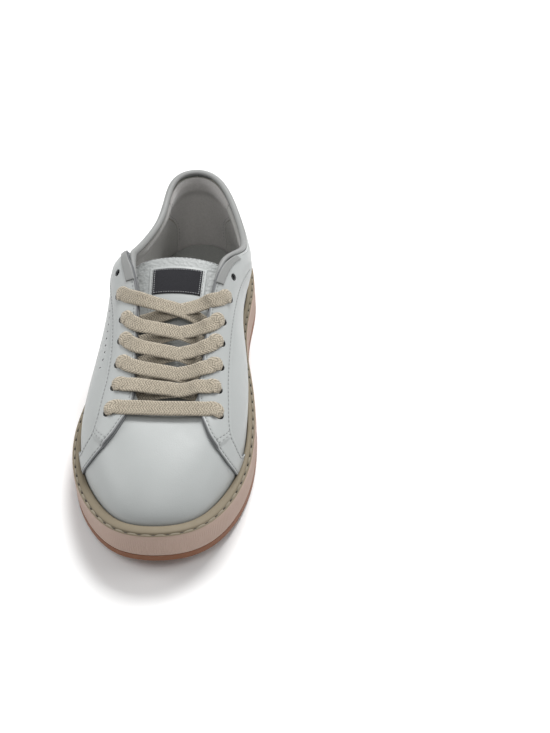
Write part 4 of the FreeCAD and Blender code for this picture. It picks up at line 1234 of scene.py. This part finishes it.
seams = []
for side, name in ((1, "medial"), (-1, "lateral")):
    holes = [(at_side(u, side), v) for u, v in EYELETS]
    quarter = sheet("quarter_leather_" + name, side_domain(QUARTER, side), collar_puff, -LEATHER, 1.3,
                    radius=0.4, materials=EDGED)
    punch(quarter, holes)
    if side < 0:
        punch(quarter, [(at_side(u, side), v) for u, v in VENTS], VENT_RADIUS, 1.5, 2.6)
    put(quarter, "quarter_" + name)
    # The facing's rim, and its top beside the front edge, take the cut-edge grey, partly painted shade.
    facing = sheet("facing_leather_" + name, side_domain(FACING, side), LAYER_GAP + OVERLAY, LAYER_GAP, 0.8,
                   radius=0.45, relief=facing_relief, lift=facing_lift, materials=EDGED, edge_material=1,
                   edge_reach=0.75)
    punch(facing, holes)
    put(facing, "facing_" + name)
    # The layer's strip past the facing's front edge takes the cut-edge grey, partly painted shade.
    layer = sheet("facing_layer_" + name, side_domain(under_layer, side), LAYER_GAP + STEP_HEIGHT - 0.12,
                  LAYER_GAP, 0.9, radius=0.3, materials=EDGED, edge_material=1, edge_reach=1.5)
    punch(layer, holes)
    put(layer, "facing_" + name)
    lining = sheet("side_lining_" + name, side_domain(SIDE_LINING, side), lining_top, lining_under, 1.5,
                   radius=0.3, materials=(LOOKS["lining"],))
    punch(lining, holes)
    put(lining, "lining_" + name)
    tab = sheet("tab_" + name, side_domain(TAB, side), 2 * LAYER_GAP + OVERLAY + STEP_HEIGHT + 0.8,
                2 * LAYER_GAP + OVERLAY + STEP_HEIGHT, 0.6, radius=0.5, materials=(LOOKS["trim"],))
    put(tab, "throat_tab_" + name)
    seams.append(facing_line(side, 1, 2.1, 0.02, 0.975))
    seams.append(facing_line(side, 0, 2.1, 0.02, 0.955))
    seams += bar_rows(side)
sew("facing_stitches", seams, "seam_thread", 2.6, 1.8, 0.5, 0.42)

heel_tab_domain = straight_domain(11.25, 12.75, 0.02, 0.955)


def tab_top(u, v):
    return LAYER_GAP + OVERLAY + collar_puff(u, v)


def tab_under(u, v):
    return LAYER_GAP + collar_puff(u, v)


heel_tab = sheet("heel_tab_suede", heel_tab_domain, tab_top, tab_under, 0.9, radius=0.5,
                 relief=groove(0, 1, 3, distance=2.2), materials=(LOOKS["trim"], LOOKS["edge_grey_and_shade"]),
                 edge_material=1)
put(heel_tab, "heel_tab")
heel_seams = [domain_line(heel_tab_domain, tab_top, k, 2.2, 0.03, 0.97) for k in (0, 1, 3)]
sew("heel_tab_stitches", heel_seams, "grey_thread", 2.6, 1.85, 0.42, 0.4)

heel_lining = sheet("heel_lining_cloth", heel_lining_domain, lining_top, lining_under, 1.3, radius=0.3,
                    materials=(LOOKS["heel_lining"],))
put(heel_lining, "heel_lining")
inside_seams = [domain_line(heel_lining_domain, lambda u, v: lining_under(u, v) - 0.03, k, 2.0, 0.3, 0.97)
                for k in (0, 1)]
inside_seams = [(line, -normal) for line, normal in inside_seams]
sew("heel_lining_stitches", inside_seams, "grey_thread")

put(collar_tube(), "collar_binding")
u = np.linspace(COLLAR_START + 0.5, ROUND - COLLAR_START - 0.5, 900)
v = np.full_like(u, 0.93)
outside = (skin(u, v, collar_puff(u, v) + 0.02), skin_normal(u, v))
sew("collar_stitches", [outside], "seam_thread")

# ---------------------------------------------------------------- tongue
TONGUE_SPREAD = tongue_domain(1.0, 0.0, 1.0, 0.05)
outer = sheet("tongue_leather", TONGUE_SPREAD, 0.0, -TONGUE_LEATHER, 0.9, surface=tongue_face, radius=0.5,
              relief=tongue_relief, materials=(LOOKS["inner_leather"], LOOKS["edge_grey_and_shade"]), edge_material=1)
put(outer, "tongue_outer", "tongue")
under_foam = TONGUE_LEATHER + LAYER_GAP + TONGUE_FOAM + LAYER_GAP
inner = sheet("tongue_lining_cloth", tongue_domain(0.98, 0.16, 0.995, 0.05), -under_foam,
              -under_foam - TONGUE_LINING, 1.4, surface=tongue_face, radius=0.4, materials=(LOOKS["lining"],))
put(inner, "tongue_lining", "tongue")


def tongue_top(s, t):
    return tongue_swell(s, t) + 0.03


rim = [domain_line(TONGUE_SPREAD, tongue_top, k, 3.0, low, 0.99, tongue_face, tongue_normal)
       for k, low in ((0, 0.5), (1, 0.5), (3, 0.02))]
sew("tongue_stitches", rim, "seam_thread", 2.7, 1.9, body="tongue")
PATCH = tongue_domain(0.59, 0.68, 0.872)
LABEL = tongue_domain(0.505, 0.763, 0.858)


def patch_top(s, t):
    return tongue_swell(s, t) + LAYER_GAP + 0.6


def label_top(s, t):
    return patch_top(s, t) + LAYER_GAP + 0.5


patch = sheet("label_patch_leather", PATCH, patch_top, lambda s, t: tongue_swell(s, t) + 0.02, 0.8,
              surface=tongue_face, radius=0.4, relief=groove(0, 1, distance=1.8),
              materials=(LOOKS["leather"], LOOKS["edge_grey_and_shade"]), edge_material=1)
put(patch, "label_patch", "tongue")
label = sheet("woven_label", LABEL, label_top, lambda s, t: patch_top(s, t) + 0.02, 0.6, surface=tongue_face,
              radius=0.25, materials=(LOOKS["label"],))
put(label, "tongue_label", "tongue")
patch_lines = [domain_line(PATCH, patch_top, k, 1.8, 0.03, 0.97, tongue_face, tongue_normal) for k in (0, 1)]
sew("patch_stitches", patch_lines, "seam_thread", 2.4, 1.7, 0.4, body="tongue")
label_lines = [domain_line(LABEL, lambda s, t: label_top(s, t) + 0.02, k, 1.0, 0.02, 0.98, tongue_face,
                           tongue_normal) for k in range(4)]
sew("label_border", label_lines, "label_mark", 1.5, 1.2, 0.3, 0.24, "tongue")

put(lace_mesh(), "lace")

# ---------------------------------------------------------------- pieces kept as the design has them
KEPT = {
    "outsole": "gum", "midsole_foam": "foam", "insole_board": "board", "toe_puff": "board",
    "heel_counter": "board", "collar_foam": "foam", "tongue_foam": "foam", "eyelet_stay_medial": "board",
    "eyelet_stay_lateral": "board", "aglets": "aglet",
}
for node, look in KEPT.items():
    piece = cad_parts[node]
    piece.data.materials.clear()
    piece.data.materials.append(LOOKS[look])

# ---------------------------------------------------------------- floor, light and camera
def quad(name, corners, material):
    mesh = bpy.data.meshes.new(name)
    mesh.from_pydata(corners, [], [(0, 1, 2, 3)])
    mesh.materials.append(material)
    piece = bpy.data.objects.new(name, mesh)
    bpy.context.scene.collection.objects.link(piece)
    return piece


paper = Look("paper_look", (0.93, 0.93, 0.93), 0.75)
paper.tint(paper.noise(3.0, 2), 0.99, 1.01)
paper.bump(paper.noise(400, 3), 0.03, 0.0002)
quad("floor", [(-4, -4, -0.0005), (4, -4, -0.0005), (4, 4, -0.0005), (-4, 4, -0.0005)], paper.material)


def soft_light(name, place, target, size, power):
    light = bpy.data.lights.new(name, "AREA")
    light.shape = "RECTANGLE"
    light.size, light.size_y = size
    light.energy = power
    lamp = bpy.data.objects.new(name, light)
    lamp.location = place
    lamp.rotation_euler = (Vector(target) - Vector(place)).to_track_quat("-Z", "Y").to_euler()
    bpy.context.scene.collection.objects.link(lamp)


soft_light("key", (0.25, 0.75, 1.35), (0, 0.0, 0.03), (0.7, 0.5), 22)
soft_light("left", (-1.4, 0.1, 0.9), (0, 0, 0.03), (0.8, 1.0), 8)
soft_light("right", (1.4, 0.1, 0.9), (0, 0, 0.03), (0.8, 1.0), 6)
soft_light("front", (0.0, -0.7, 1.5), (0, 0.05, 0.05), (0.5, 0.5), 4)

SKY_STRENGTH = 0.26
world = bpy.data.worlds.new("studio")
world.use_nodes = True
world.node_tree.nodes["Background"].inputs["Color"].default_value = (1, 1, 1, 1)
world.node_tree.nodes["Background"].inputs["Strength"].default_value = SKY_STRENGTH
bpy.context.scene.world = world
bpy.context.scene.view_settings.view_transform = "Standard"
bpy.context.scene.view_settings.look = "None"

YAW, PITCH = -0.0402138, 0.7356482    # radians, from the camera fit
EYE_PLACE = (79.254, -423.130, 403.098)
LENS_LENGTH = 41.75
SENSOR_WIDTH = 36.0
ahead = Vector((math.sin(YAW) * math.cos(PITCH), math.cos(YAW) * math.cos(PITCH), -math.sin(PITCH)))
eye = bpy.data.cameras.new("camera")
eye.sensor_width = SENSOR_WIDTH
eye.lens = LENS_LENGTH
eye.clip_start = 0.01
camera = bpy.data.objects.new("camera", eye)
camera.location = [(c + d) * MM for c, d in zip(EYE_PLACE, SHIFT)]
camera.rotation_euler = ahead.to_track_quat("-Z", "Y").to_euler()
bpy.context.scene.collection.objects.link(camera)
bpy.context.scene.camera = camera

bpy.context.view_layer.update()
